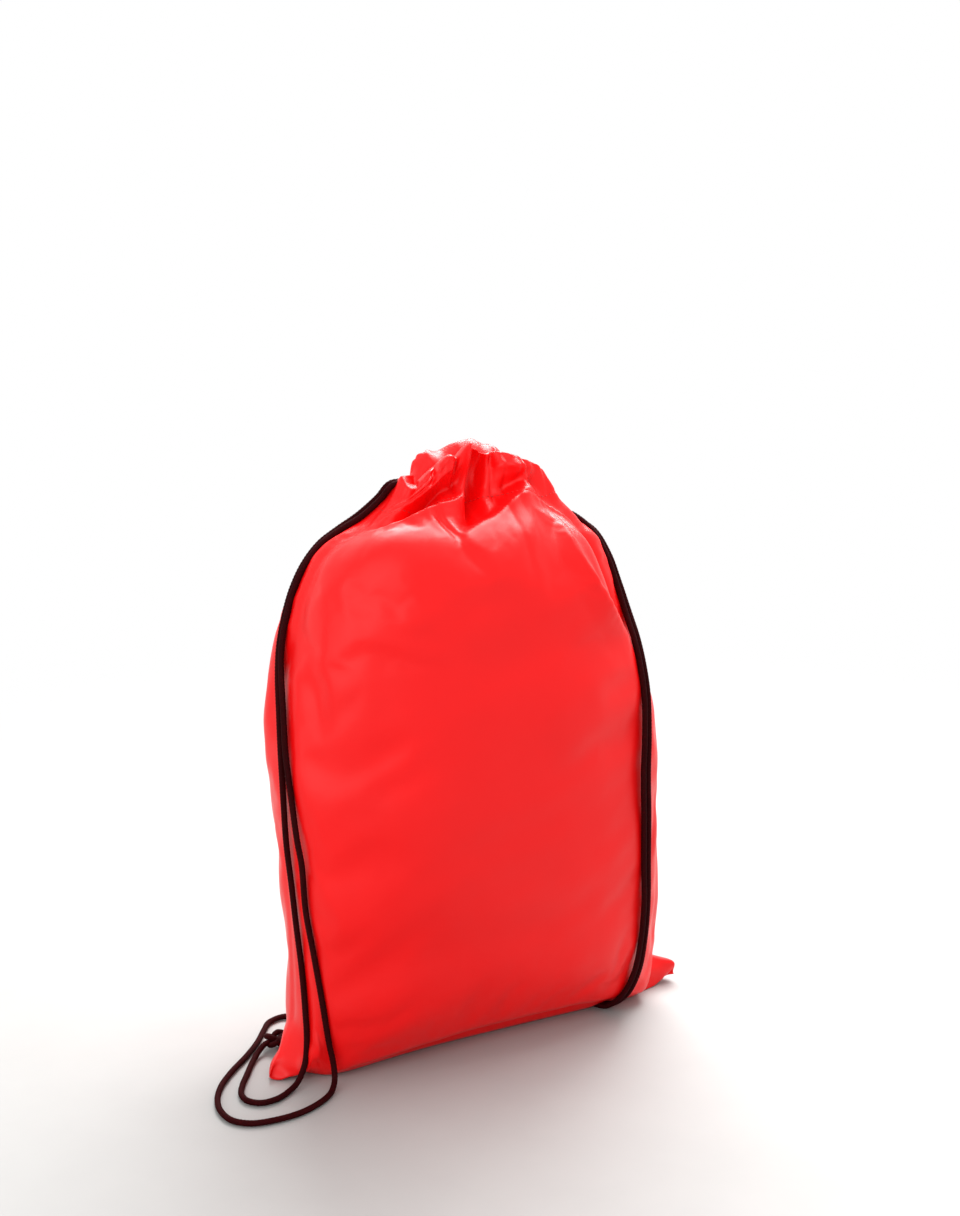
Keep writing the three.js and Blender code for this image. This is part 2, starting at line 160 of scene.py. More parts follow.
# Rise of the hem's top edge: place across, height and half width
FRONT_RISE = [
    (-0.06, 7, 0.05), (-0.24, 3, 0.09), (-0.15, -3, 0.04),
    (0.05, -3, 0.05), (-0.8, -9, 0.28), (0.85, -5, 0.2),
]
BACK_RISE = [
    (0.05, 4, 0.1), (0.3, 3, 0.1), (-0.3, 3, 0.12),
    (-0.12, -3, 0.08), (-0.8, -9, 0.28), (0.85, -5, 0.2),
]

# The pouch's grid: columns of one panel, and rows whose shares of the way down follow evenly numbered rows
COLUMNS = 88
BASE_ROWS = 12
LIP_ROWS = 8
WALL_ROWS = 108
ROW_SHARES = (0.0, 0.34, 0.58, 0.88, 1.0)
ROW_DOWNS = (0.0, 0.16, 0.33, 0.86, 1.0)
SECTION_SAMPLES = 4001
SLOPE_STEP = 0.004

# Routes of the four cord strands from the hem to the knots, in metres, as the solids have them
CORD_ROUTES = {
    "left_cord_back": [
        (-0.043, 0.006, 0.371), (-0.0545, 0.0085, 0.37), (-0.062, 0.011, 0.3615), (-0.0735, 0.015, 0.351),
        (-0.086, 0.0185, 0.3425), (-0.0975, 0.02, 0.3345), (-0.1085, 0.0195, 0.3225),
        (-0.1175, 0.018, 0.307), (-0.124, 0.015, 0.291), (-0.13, 0.009, 0.275), (-0.134, 0.002, 0.259),
        (-0.137, -0.006, 0.241), (-0.139, -0.012, 0.217), (-0.139, -0.0145, 0.186),
        (-0.1375, -0.0135, 0.158), (-0.1345, -0.0125, 0.13), (-0.132, -0.0125, 0.102),
        (-0.1305, -0.016, 0.074), (-0.1305, -0.0205, 0.046), (-0.131, -0.023, 0.028),
        (-0.1335, -0.025, 0.013), (-0.14, -0.029, 0.0045), (-0.148, -0.034, 0.0023),
        (-0.1585, -0.0395, 0.0023), (-0.1685, -0.0395, 0.0023), (-0.175, -0.033, 0.0023),
        (-0.1755, -0.024, 0.0023), (-0.171, -0.0135, 0.0023), (-0.163, -0.001, 0.0023),
        (-0.1545, 0.012, 0.0025), (-0.1475, 0.02, 0.004), (-0.1409, 0.0242, 0.0064),
    ],
    "left_cord_front": [
        (-0.043, 0.001, 0.371), (-0.0545, 0.0035, 0.37), (-0.062, 0.0065, 0.361),
        (-0.0735, 0.0105, 0.3505), (-0.086, 0.0138, 0.343), (-0.098, 0.0153, 0.3352),
        (-0.1095, 0.0148, 0.3228), (-0.1183, 0.0132, 0.3074), (-0.1248, 0.01, 0.291),
        (-0.1305, 0.004, 0.275), (-0.1337, -0.003, 0.258), (-0.1362, -0.011, 0.24),
        (-0.1386, -0.019, 0.217), (-0.138, -0.025, 0.19), (-0.1365, -0.0285, 0.165),
        (-0.134, -0.029, 0.148), (-0.131, -0.0265, 0.116), (-0.1275, -0.0285, 0.089),
        (-0.124, -0.032, 0.058), (-0.121, -0.035, 0.029), (-0.119, -0.037, 0.014),
        (-0.12, -0.0405, 0.006), (-0.125, -0.047, 0.0025), (-0.134, -0.0545, 0.0023),
        (-0.15, -0.0615, 0.0023), (-0.166, -0.063, 0.0023), (-0.1825, -0.06, 0.0023),
        (-0.1915, -0.0515, 0.0023), (-0.194, -0.038, 0.0023), (-0.191, -0.0235, 0.0023),
        (-0.1835, -0.009, 0.0023), (-0.171, 0.006, 0.0023), (-0.1555, 0.021, 0.0023),
        (-0.142, 0.036, 0.0023), (-0.132, 0.05, 0.0023), (-0.124, 0.06, 0.0023), (-0.1125, 0.063, 0.0023),
        (-0.1035, 0.056, 0.0023), (-0.105, 0.046, 0.0025), (-0.115, 0.0395, 0.0043),
        (-0.126, 0.032, 0.0065),
    ],
    "right_cord_front": [
        (0.031, 0.004, 0.3715), (0.0425, 0.0063, 0.3688), (0.0494, 0.0078, 0.3593), (0.0597, 0.0033, 0.3462),
        (0.069, -0.006, 0.3415), (0.0767, -0.016, 0.3325), (0.0833, -0.0232, 0.3168),
        (0.088, -0.028, 0.299), (0.091, -0.035, 0.2805), (0.092, -0.044, 0.2655),
        (0.0928, -0.0505, 0.2495), (0.0943, -0.054, 0.2297), (0.093, -0.0577, 0.205),
        (0.0917, -0.0592, 0.178), (0.0937, -0.0578, 0.148), (0.096, -0.0552, 0.117),
        (0.099, -0.052, 0.084), (0.099, -0.0488, 0.057), (0.0965, -0.0455, 0.034),
        (0.091, -0.0405, 0.017), (0.086, -0.03, 0.0055), (0.083, -0.018, 0.0023), (0.082, 0, 0.0023),
        (0.0815, 0.02, 0.0023), (0.0825, 0.042, 0.0023), (0.086, 0.061, 0.0023), (0.0965, 0.075, 0.0023),
        (0.112, 0.0795, 0.0023), (0.125, 0.072, 0.0023), (0.13, 0.058, 0.0023), (0.1305, 0.046, 0.0036),
        (0.1306, 0.0356, 0.0065),
    ],
    "right_cord_back": [
        (0.032, 0.009, 0.371), (0.044, 0.0115, 0.369), (0.0516, 0.0124, 0.3594), (0.0624, 0.0082, 0.3458),
        (0.0718, -0.002, 0.3392), (0.0807, -0.012, 0.3313), (0.0872, -0.0195, 0.3165),
        (0.092, -0.0245, 0.299), (0.0955, -0.0315, 0.2805), (0.0967, -0.0403, 0.2653),
        (0.0973, -0.0472, 0.2495), (0.0988, -0.051, 0.2297), (0.0975, -0.0554, 0.205),
        (0.0964, -0.0572, 0.178), (0.0985, -0.0556, 0.148), (0.1007, -0.053, 0.117),
        (0.1035, -0.0495, 0.084), (0.1037, -0.0465, 0.057), (0.1014, -0.0438, 0.034),
        (0.096, -0.0395, 0.017), (0.091, -0.029, 0.0058), (0.088, -0.018, 0.0023), (0.087, 0, 0.0023),
        (0.0865, 0.02, 0.0023), (0.0875, 0.04, 0.0023), (0.091, 0.056, 0.0023), (0.0995, 0.068, 0.0023),
        (0.111, 0.071, 0.0023), (0.12, 0.0645, 0.0023), (0.122, 0.053, 0.0026), (0.1215, 0.042, 0.0045),
        (0.1252, 0.0328, 0.0065),
    ],
}

# Place and size of the knots, the share of the way to a knot's middle that a strand goes in, and the root of
# cord that is sewn into the corner, with its slope in degrees
KNOT_ACROSS = 132.3
KNOT_BACK = 26.4
KNOT_UP = 7
KNOT_SIZE = 4.7
KNOT_BITE = 0.5
ROOT_LENGTH = 24
ROOT_SLOPE = 24

# Camera fitted to the photograph: the point it looks past, its distance and its turn
VIEW_AZIMUTH = -27.74
VIEW_PITCH = 13.86
VIEW_DISTANCE = 1.2
VIEW_CENTRE = (0.0, 0.0, 0.2)
VIEW_SLIDE = (0.00327, 0.08418)
VIEW_FOCUS = 1855.71
IMAGE_HEIGHT = 1216
SENSOR = 36.0
CLIP_NEAR, CLIP_FAR = 0.05, 50

# Lamps: where each stands, the point it is turned to, its width and height, and the setting with its power
LAMPS = {
    "lamp_above": ((0.45, 0.05, 1.4), (0.0, 0.0, 0.35), (0.9, 0.5), "key"),
    "lamp_left": ((-1.9, -1.2, 1.1), (0.0, 0.0, 0.2), (2.2, 2.2), "fill"),
    "lamp_behind": ((0.62, 0.75, 1.28), (0.0, 0.0, 0.33), (1.3, 0.8), "rim"),
}
# Floor: the radii of its rings, the points around each, and the radii between which it fades, in metres
FLOOR_RINGS = (1.8, 0.9, 0.4, 0.001)
FLOOR_SIDES = 96
FLOOR_FADE = (0.25, 1.0)

# Pleats that the drawcord gathers in each panel, in millimetres, with pairs of size and pace for the waves
# that shift a pleat's place and vary its depth and its length
GATHER_COUNT = 10
GATHER_POWER = 2.2
GATHER_DEPTH = 3.2
GATHER_LENGTH = 34
GATHER_SHIFTS = ((0.024, 5), (0.016, 13))
GATHER_SIZES = (0.38, 9)
GATHER_REACHES = (0.5, 17)

# Dips of the line of stitches under the hem and of the side seams, in millimetres
STITCH_DEPTH = 0.7
STITCH_SPREAD = 1.6
GROOVE_DEPTH = 1.3
GROOVE_SPREAD = 1.5

# Small relief of the satin and the crumpled corner ears, in millimetres
PANEL_WAVE = 1.2
PANEL_WAVELENGTH = 90
RIPPLE = 0.25
RIPPLE_WAVELENGTH = 25
CALM_HEMS = 4
WAVE_COUNT = 7
WAVE_STRETCH = (0.7, 1.4)
EAR_ROOT = 120
EAR_CRUMPLE = 2.8
EAR_CREASE = 14
EAR_LIFT_SHARE = 1 / 3
CREASE_COUNT = 5
CREASE_STRETCH = (0.7, 1.5)
CREASE_SCALE = 2.2
PHASES = 6.28

# Grooves under the strands: the gap to the cord in millimetres, the slope beside a strand, how wide and how
# high they reach in cord radii, the step along a strand in metres, and the first step that presses
CORD_GAP = 0.3
PRESS_SLOPE = 0.7
PRESS_WIDTH = 3.5
PRESS_HEIGHT = 3.0
PRESS_STEP = 0.002
PRESS_START = 7

# Cloth simulation: pressure, slack of the panels and shrink of the seams, frames, the farthest that a point
# moves, and the distances to a strand, the heights and the rows above the base over which the satin is held
CLOTH_PRESSURE = 3.0
CLOTH_SLACK = -0.006
SEAM_SHRINK = 0.01
SEAM_SPREAD = 0.03
CLOTH_FRAMES = 14
CLOTH_REACH = 0.0035
HOLD_BESIDE = (0.003, 0.009)
HOLD_ABOVE = (0.35, 0.372)
HOLD_ROWS = 6
WEIGHT_STEPS = 10
CLOTH_QUALITY = 5
CLOTH_MASS = 0.12
CLOTH_STRETCH = 12
CLOTH_SHEAR = 4
CLOTH_BEND = 0.05
NO_LENGTH = 1e-9

# Tubes of braid: points around, the distance between rings in metres, the samples of a route's spans, the
# direction that a tube's side starts from, the least share of the radius squared at a domed end, and how far
# a yarn dips under its neighbour
CORD_SIDES = 24
CORD_RING_STEP = 0.0006
SPAN_SAMPLES = 60
SIDE_GUIDE = (0.3, 0.2, 0.9)
DOME_TIP = 0.0004
YARN_DIP = 0.75

# Hem's stitches: rings along a stitch, points around it, and the least share of the radius squared at an end
STITCH_RINGS = 7
STITCH_SIDES = 6
STITCH_TIP = 0.01

# A wave texture's pace in radians over a metre at a scale of 1, and the braid's finest fibres in metres
WAVE_TEXTURE_PACE = 20
FIBRE_PITCH = 0.00035


def smoothstep(x, low, high):
    """0 below low, 1 above high, and a smooth cubic between."""
    share = np.clip((x - low) / (high - low), 0, 1)
    return share * share * (3 - 2 * share)


def mix(a, b, share):
    """A straight mix from a at share 0 to b at share 1."""
    return a + (b - a) * share


def even_spline(points, samples=600):
    """Uniform Catmull-Rom curve through the points, with its end points doubled."""
    points = np.asarray(points, float)
    last = len(points) - 1
    place = np.linspace(0, last, samples)
    i = np.minimum(place.astype(int), last - 1)
    w = (place - i)[:, None]
    p0, p1, p2, p3 = (points[np.clip(i + k, 0, last)] for k in (-1, 0, 1, 2))
    v0, v1 = (p2 - p0) / 2, (p3 - p1) / 2
    return (2 * p1 - 2 * p2 + v0 + v1) * w**3 + (3 * p2 - 3 * p1 - 2 * v0 - v1) * w**2 + v0 * w + p1


def line_lengths(curve):
    """Distance along a sampled line to each of its points."""
    return np.concatenate([[0], np.cumsum(np.linalg.norm(np.diff(curve, axis=0), axis=1))])


def by_length(curve, share):
    """Points of a sampled curve at shares of its whole length."""
    lengths = line_lengths(curve)
    at = np.asarray(share) * lengths[-1]
    return np.stack([np.interp(at, lengths, curve[:, k]) for k in range(curve.shape[1])], -1)


PANEL_CURVE = even_spline([
    (BASE_DEPTH, 0),
    (BASE_SWELL, BASE_ROUND),
    (LOW_SWELL, LOW_SWELL_HEIGHT),
    (FULL_SWELL, FULL_HEIGHT),
    (SHOULDER_SWELL, SHOULDER_HEIGHT),
    (NECK_SWELL, BAG_HEIGHT - HEM_HEIGHT),
    (MOUTH_SWELL, BAG_HEIGHT),
])
SEAM_CURVE = even_spline([
    (FOOT_WIDTH / 2, EAR_HEIGHT),
    (LOW_WIDTH / 2, LOW_HEIGHT),
    (FULL_WIDTH / 2, FULL_HEIGHT),
    (SHOULDER_WIDTH / 2, SHOULDER_HEIGHT),
    (NECK_WIDTH / 2, BAG_HEIGHT - HEM_SIDE_DROP - HEM_HEIGHT),
    (MOUTH_WIDTH / 2, BAG_HEIGHT - HEM_SIDE_DROP),
])
PANEL_LENGTH = line_lengths(PANEL_CURVE)[-1]


def section(s):
    """Superellipse quarter by quarter: how far across and how far out at place s, as shares."""
    turn = s * np.pi / 2
    across = np.sign(s) * np.abs(np.sin(turn)) ** (2 / SQUARENESS)
    out = np.abs(np.cos(turn)) ** (2 / SQUARENESS)
    return across, out


def front_hollow(s, side):
    """Bell curve of the front edge's hollow, wider to the right, and nothing on the back."""
    spread = np.where(s < 0, HOLLOW_LEFT, HOLLOW_RIGHT)
    return np.where(side < 0, np.exp(-((s / spread) ** 2)), 0)


def corner_bulge(s, side):
    """Bell curve of the left corner's bulge to the front along the floor, and nothing on the back."""
    return np.where(side < 0, np.exp(-(((s - CORNER_PLACE) / CORNER_SPREAD) ** 2)), 0)


def lean_at(z):
    """Sideways lean at a height, in smooth steps through the fullest section, shoulders and mouth."""
    lean = smoothstep(z, 0, FULL_HEIGHT) * FULL_LEAN
    lean = mix(lean, SHOULDER_LEAN, smoothstep(z, FULL_HEIGHT, SHOULDER_HEIGHT))
    return mix(lean, MOUTH_LEAN, smoothstep(z, SHOULDER_HEIGHT, BAG_HEIGHT))


def base_points(s, share, side):
    """Underside: from the bottom seam (share 0) out to the base's edge (share 1), raised at the ears."""
    across, out = section(s)
    hollow = front_hollow(s, side)
    turn_up = smoothstep(np.abs(s), SEAM_TURN, 1)
    taper = np.where(s < 0, share**EAR_TAPER, smoothstep(share, *BLUNT_EAR))
    half_width = mix(EAR_SPAN, FOOT_WIDTH, taper) / 2
    bend = np.where(s < 0, LEFT_EAR_BEND, RIGHT_EAR_BEND) * turn_up**2 * (1 - share)
    bulge = corner_bulge(s, side)
    y = side * (BASE_DEPTH - FRONT_DENT * hollow) * share * out - bend - CORNER_PUSH * bulge * np.sqrt(share)
    z = mix(EAR_LIFT * (1 - bulge), EAR_HEIGHT, share ** (1 + bulge)) * turn_up
    z = z + FRONT_LIFT * hollow * share**LIFT_CURVE
    return np.stack(np.broadcast_arrays(half_width * across, y, z), -1)


def wall_points(s, share, side):
    """Panel before folding: sections of the seam's width and the panel's swell, from base to hem."""
    across, out = section(s)
    panel = by_length(PANEL_CURVE, share)
    seam = by_length(SEAM_CURVE, share)
    hollow = front_hollow(s, side)
    turn_up = smoothstep(np.abs(s), SEAM_TURN, 1)
    droop = mix(turn_up, across**2, smoothstep(share, HEM_DROOP_START, 1))
    z = mix(panel[..., 1], seam[..., 1], droop)
    lift = FRONT_LIFT * hollow * (1 - share) ** LIFT_FADE
    swell = panel[..., 0] - FRONT_DENT * hollow * (1 - share) ** DENT_FADE
    y = side * swell * out - CORNER_PUSH * corner_bulge(s, side) * (1 - share) ** CORNER_FADE
    return np.stack(np.broadcast_arrays(seam[..., 0] * across + lean_at(z), y, z + lift), -1)


def inward_normals(s, share, side):
    """Unit normals into the bag, from the panel's slopes across and up."""
    s = np.clip(s, -1 + SLOPE_STEP, 1 - SLOPE_STEP)
    share = np.clip(share, SLOPE_STEP, 1 - SLOPE_STEP)
    across = wall_points(s + SLOPE_STEP, share, side) - wall_points(s - SLOPE_STEP, share, side)
    up = wall_points(s, share + SLOPE_STEP, side) - wall_points(s, share - SLOPE_STEP, side)
    normal = np.cross(across, up) * np.asarray(side)[..., None]
    return normal / np.linalg.norm(normal, axis=-1, keepdims=True)


def fold_depth(folds, s, down):
    """Sum over the strokes of depth times a fall-off with the distance to the stroke on the flat panel."""
    u, v = np.broadcast_arrays(s * PANEL_WIDTH / 2, down)
    total = np.zeros(u.shape)
    for (above, below), crease, points in folds:
        line = even_spline(np.array(points) * (PANEL_WIDTH / 2, 1, 1), STROKE_SAMPLES * len(points))
        nearest = np.full(u.shape, np.inf)
        depth = np.zeros(u.shape)
        under = np.zeros(u.shape, bool)
        for (u0, v0, d0), (u1, v1, d1) in zip(line[:-1], line[1:]):
            du, dv = u1 - u0, v1 - v0
            along = np.clip(((u - u0) * du + (v - v0) * dv) / (du * du + dv * dv), 0, 1)
            gap = np.hypot(u - u0 - along * du, v - v0 - along * dv)
            closer = gap < nearest
            nearest = np.where(closer, gap, nearest)
            depth = np.where(closer, mix(d0, d1, along), depth)
            under = np.where(closer, du * (v - v0) - dv * (u - u0) > 0, under)
        fall = np.clip(1 - nearest / np.where(under, below, above), 0, 1)
        total += depth * (fall**CREASE_POWER if crease else smoothstep(fall, 0, 1))
    return total


def hem_rise(rises, s, down):
    """Bell curves along the hem's top edge that fade out down the hem."""
    along_edge = sum(height * np.exp(-(((s - place) / half) ** 2)) for place, height, half in rises)
    return along_edge * smoothstep(HEM_HEIGHT - down, 0, HEM_HEIGHT)


def gathers(s, down, turn):
    """Pleats that radiate from the mouth: narrow valleys between round ridges at uneven places, each fading
    out at its own distance below the edge. The turn sets the two panels' waves apart."""
    (shift, pace), (small_shift, small_pace) = GATHER_SHIFTS
    place = s + shift * np.sin(pace * s + turn) + small_shift * np.sin(small_pace * s + 2 * turn)
    valley = (1 - np.abs(np.sin(np.pi * GATHER_COUNT * place))) ** GATHER_POWER
    vary, pace = GATHER_SIZES
    size = 1 - vary + vary * np.sin(pace * s + 3 * turn)
    vary, pace = GATHER_REACHES
    length = GATHER_LENGTH * (1 + vary * np.sin(pace * s + 5 * turn))
    return GATHER_DEPTH * size * valley * np.exp(-((down / length) ** 2))


def soft_waves(u, v, wavelength, seed):
    """Sum of plane waves of about one length in seeded directions, from -1 to 1 or so."""
    rng = np.random.default_rng(seed)
    headings = rng.uniform(0, np.pi, WAVE_COUNT)
    phases = rng.uniform(0, PHASES, WAVE_COUNT)
    stretches = rng.uniform(*WAVE_STRETCH, WAVE_COUNT)
    total = 0
    for heading, phase, stretch in zip(headings, phases, stretches):
        k = 2 * np.pi / (wavelength * stretch)
        total = total + np.sin(k * (u * np.cos(heading) + v * np.sin(heading)) + phase)
    return total / math.sqrt(WAVE_COUNT)


def crumple(u, v, wavelength, seed):
    """Ridged plane waves: sharp crests between round dips, from -1 to 1 or so."""
    rng = np.random.default_rng(seed)
    headings = rng.uniform(0, np.pi, CREASE_COUNT)
    phases = rng.uniform(0, PHASES, CREASE_COUNT)
    total = 0
    for heading, phase in zip(headings, phases):
        k = np.pi / (wavelength * rng.uniform(*CREASE_STRETCH))
        total = total + 1 - 2 * np.abs(np.sin(k * (u * np.cos(heading) + v * np.sin(heading)) + phase))
    return total / CREASE_SCALE


def panel_places():
    """Places across a panel that are evenly spaced around the fullest section, with their distances."""
    s = np.linspace(-1, 1, SECTION_SAMPLES)
    across, out = section(s)
    lengths = line_lengths(np.stack([across * FULL_WIDTH / 2, out * FULL_SWELL], -1))
    even = np.linspace(0, lengths[-1], COLUMNS + 1)
    return np.interp(even, lengths, s), even


def wall_downs():
    """Shares of the way down from the hem's top edge to the base, for the wall's rows from the base up."""
    return np.interp(np.linspace(1, 0, WALL_ROWS), ROW_SHARES, ROW_DOWNS)


def around_panels():
    """Places across the front panel and back across the back panel, as one ring of columns."""
    places = panel_places()[0]
    return np.concatenate([places[:-1], places[:0:-1]])


def folded_wall(s, share, side):
    """Panel with folds, pleats, stitch line and soft waves pressed in along the normals and held at the
    seams, and a groove along each seam below the hem."""
    down = (1 - share) * PANEL_LENGTH
    front, back = slice(0, COLUMNS), slice(COLUMNS, None)
    depth = np.concatenate([
        fold_depth(FRONT_FOLDS, s[:, front], down),
        fold_depth(BACK_FOLDS, s[:, back], down),
    ], axis=1)
    rise = np.concatenate([
        hem_rise(FRONT_RISE, s[:, front], down),
        hem_rise(BACK_RISE, s[:, back], down),
    ], axis=1)
    u = s * PANEL_WIDTH / 2 + side * PANEL_WIDTH
    depth = depth + gathers(s, down, 1 + side)
    depth = depth + STITCH_DEPTH * np.exp(-(((down - HEM_HEIGHT) / STITCH_SPREAD) ** 2))
    calm = smoothstep(down, HEM_HEIGHT, CALM_HEMS * HEM_HEIGHT)
    depth = depth + PANEL_WAVE * calm * soft_waves(u, down, PANEL_WAVELENGTH, seed=3)
    depth = depth + RIPPLE * calm * soft_waves(u, down, RIPPLE_WAVELENGTH, seed=8)
    inward = inward_normals(s, share, side)
    points = wall_points(s, share, side)
    points = points + inward * (depth * (1 - s**SEAM_HOLD))[..., None]
    points[..., 2] += rise * (1 - s**SEAM_HOLD)
    beside_seam = (1 - np.abs(s)) * PANEL_WIDTH / 2
    groove = GROOVE_DEPTH * np.exp(-((beside_seam / GROOVE_SPREAD) ** 2))
    groove = groove * smoothstep(down, HEM_HEIGHT, 2 * HEM_HEIGHT)
    return points + inward * groove[..., None]


def lip_points(hem, smooth_hem, s, share):
    """Lips: from the hem's top edge in and down to one closing line along the middle of the mouth."""
    out = section(s)[1]
    x = mix(hem[..., 0], mix(MOUTH_LEAN, smooth_hem[..., 0], SLIT_SPAN), share)
    z = mix(hem[..., 2], smooth_hem[..., 2], share) - SLIT_DEPTH * out * share**2
    return np.stack(np.broadcast_arrays(x, hem[..., 1] * (1 - share) ** 2, z), -1)


def crumple_ears(points):
    """Both skins of an ear move together by ridged waves of their place across and up."""
    x, z = points[..., 0], points[..., 2]
    ear = smoothstep(np.abs(x), EAR_ROOT, EAR_SPAN / 2) * (1 - smoothstep(z, EAR_HEIGHT, 2 * EAR_HEIGHT))
    moved = points.copy()
    moved[..., 1] += EAR_CRUMPLE * ear * crumple(x, z, EAR_CREASE, seed=5)
    lift = EAR_CRUMPLE * EAR_LIFT_SHARE * ear * crumple(x, z, EAR_CREASE, seed=6)
    moved[..., 2] = np.maximum(0, z + lift)
    return moved


def pouch_grid():
    """Rings of points from the bottom seam out over the base, up the walls and into the lips, and the places
    of the rings' columns and rows on the flat cloth."""
    distances = panel_places()[1]
    s = around_panels()[None, :]
    side = np.repeat([-1.0, 1.0], COLUMNS)[None, :]
    base_share = np.linspace(0, 1, BASE_ROWS, endpoint=False)[:, None]
    down_share = wall_downs()[:, None]
    lip_share = np.linspace(0, 1, LIP_ROWS + 1)[1:, None]
    base = base_points(s, base_share, side)
    wall = folded_wall(s, 1 - down_share, side)
    lips = lip_points(wall[-1:], wall_points(s, np.ones((1, 1)), side), s, lip_share)
    points = crumple_ears(np.concatenate([base, wall, lips]))
    flat_across = np.concatenate([distances[:-1], distances[-1] + distances])
    flat_up = np.concatenate([
        (base_share[:, 0] - 1) * BASE_DEPTH,
        (1 - down_share[:, 0]) * PANEL_LENGTH,
        PANEL_LENGTH + lip_share[:, 0] * SLIT_DEPTH,
    ])
    return points, flat_across, flat_up


def pressed_by_cords(points, outward, paths, reach):
    """Points slide in along their normals until they lie under the strands: a round groove below a strand's
    line, and slopes beside it; points far outside or far beside a strand stay."""
    press = np.zeros(len(points))
    for path in paths:
        gap = np.linalg.norm(points[:, None] - path[None], axis=2)
        offset = points - path[np.argmin(gap, axis=1)]
        height = np.sum(offset * outward, axis=1)
        beside = np.sqrt(np.maximum(np.sum(offset**2, axis=1) - height**2, 0))
        under = -np.sqrt(np.maximum(reach**2 - beside**2, 0))
        highest = np.where(beside < reach, under, PRESS_SLOPE * (beside - reach))
        near = (beside < PRESS_WIDTH * reach) & (height < PRESS_HEIGHT * reach)
        press = np.maximum(press, np.where(near, height - highest, 0))
    return points - outward * press[:, None]


def ring_faces(rows, columns, wrap_rows=False):
    """Quads between neighbouring points of a grid whose columns close into rings."""
    row = np.arange(rows if wrap_rows else rows - 1)[:, None]
    column = np.arange(columns)[None, :]
    right = (column + 1) % columns
    above = (row + 1) % rows
    places = ((row, column), (row, right), (above, right), (above, column))
    corners = [r * columns + c for r, c in places]
    return np.stack(np.broadcast_arrays(*corners), -1).reshape(-1, 4)


def ring_map(across, up):
    """Flat map of the same quads: each takes its own columns' and rows' places, so its edge is clean."""
    columns, rows = len(across) - 1, len(up) - 1
    u = np.stack([across[:-1], across[1:], across[1:], across[:-1]], -1)[None].repeat(rows, 0)
    v = np.stack([up[:-1], up[:-1], up[1:], up[1:]], -1)[:, None].repeat(columns, 1)
    return np.stack([u, v], -1).reshape(-1, 2)


def new_object(name, points, faces, material, flat_map=None):
    """A smooth mesh object from points in metres, its faces and the flat map of their corners."""
    used, index = np.unique(faces, return_inverse=True)
    mesh = bpy.data.meshes.new(name)
    mesh.from_pydata(points[used], [], index.reshape(faces.shape).tolist())
    if flat_map is not None:
        layer = mesh.uv_layers.new(name="flat")
        layer.data.foreach_set("uv", flat_map.astype(np.float32).ravel())
    mesh.polygons.foreach_set("use_smooth", np.ones(len(mesh.polygons), bool))
    mesh.materials.append(material)
    mesh.update()
    piece = bpy.data.objects.new(name, mesh)
    bpy.context.scene.collection.objects.link(piece)
    return piece


def strand_path(route, step):
    """Centripetal Catmull-Rom curve through a route's points, then points at even steps along it."""
    points = np.array(route)
    points = np.concatenate([[2 * points[0] - points[1]], points, [2 * points[-1] - points[-2]]])
    p0, p1, p2, p3 = (points[k:len(points) - 3 + k, None] for k in range(4))
    spans = ((p0, p1), (p1, p2), (p2, p3))
    d0, d1, d2 = (np.linalg.norm(b - a, axis=-1, keepdims=True) ** 0.5 for a, b in spans)
    t1 = d1 * ((p1 - p0) / d0 - (p2 - p0) / (d0 + d1) + (p2 - p1) / d1)
    t2 = d1 * ((p2 - p1) / d1 - (p3 - p1) / (d1 + d2) + (p3 - p2) / d2)
    w = np.linspace(0, 1, SPAN_SAMPLES, endpoint=False)[None, :, None]
    curve = (2 * p1 - 2 * p2 + t1 + t2) * w**3 + (3 * p2 - 3 * p1 - 2 * t1 - t2) * w**2 + t1 * w + p1
    curve = np.concatenate([curve.reshape(-1, 3), points[-2:-1]])
    length = line_lengths(curve)[-1]
    return by_length(curve, np.linspace(0, 1, int(length / step) + 1)), length


def carried_frames(path):
    """Directions beside and above a path; the side is carried from point to point without twist."""
    along = np.gradient(path, axis=0)
    along /= np.linalg.norm(along, axis=1, keepdims=True)
    beside = np.zeros_like(path)
    start = np.cross(along[0], SIDE_GUIDE)
    beside[0] = start / np.linalg.norm(start)
    for k in range(1, len(path)):
        carried = beside[k - 1] - along[k] * (beside[k - 1] @ along[k])
        beside[k] = carried / np.linalg.norm(carried)
    return beside, np.cross(along, beside)


def braid_height(turn, distance, pairs, pitch):
    """Two families of helical yarns, each a rounded ridge that rides over the other in alternate columns."""
    one = pairs * turn / (2 * np.pi) + distance / pitch
    other = pairs * turn / (2 * np.pi) - distance / pitch
    over = 0.5 + 0.5 * np.cos(pairs * turn)
    ridge_one = np.cos(np.pi * one) ** 2 * (1 - YARN_DIP + YARN_DIP * over)
    ridge_other = np.cos(np.pi * other) ** 2 * (1 - YARN_DIP * over)
    return np.maximum(ridge_one, ridge_other)


def braided_tube(path, radius, braid, closed=False):
    """A circle carried along the path, its radius raised by the braid and rounded off at open ends."""
    beside, above = carried_frames(path)
    distance = line_lengths(path)[:, None]
    turn = np.linspace(0, 2 * np.pi, CORD_SIDES, endpoint=False)[None, :]
    to_end = np.minimum(distance, distance[-1] - distance)
    dome = 1 if closed else np.sqrt(np.clip(1 - (1 - np.minimum(to_end / radius, 1)) ** 2, DOME_TIP, 1))
    relief = braid_height(turn, distance, braid.yarn_pairs, braid.yarn_pitch)
    out = radius * dome * (1 - braid.relief * (1 - relief))
    rings = path[:, None] + out[..., None] * (
        np.cos(turn)[..., None] * beside[:, None] + np.sin(turn)[..., None] * above[:, None])
    return rings, distance[:, 0]


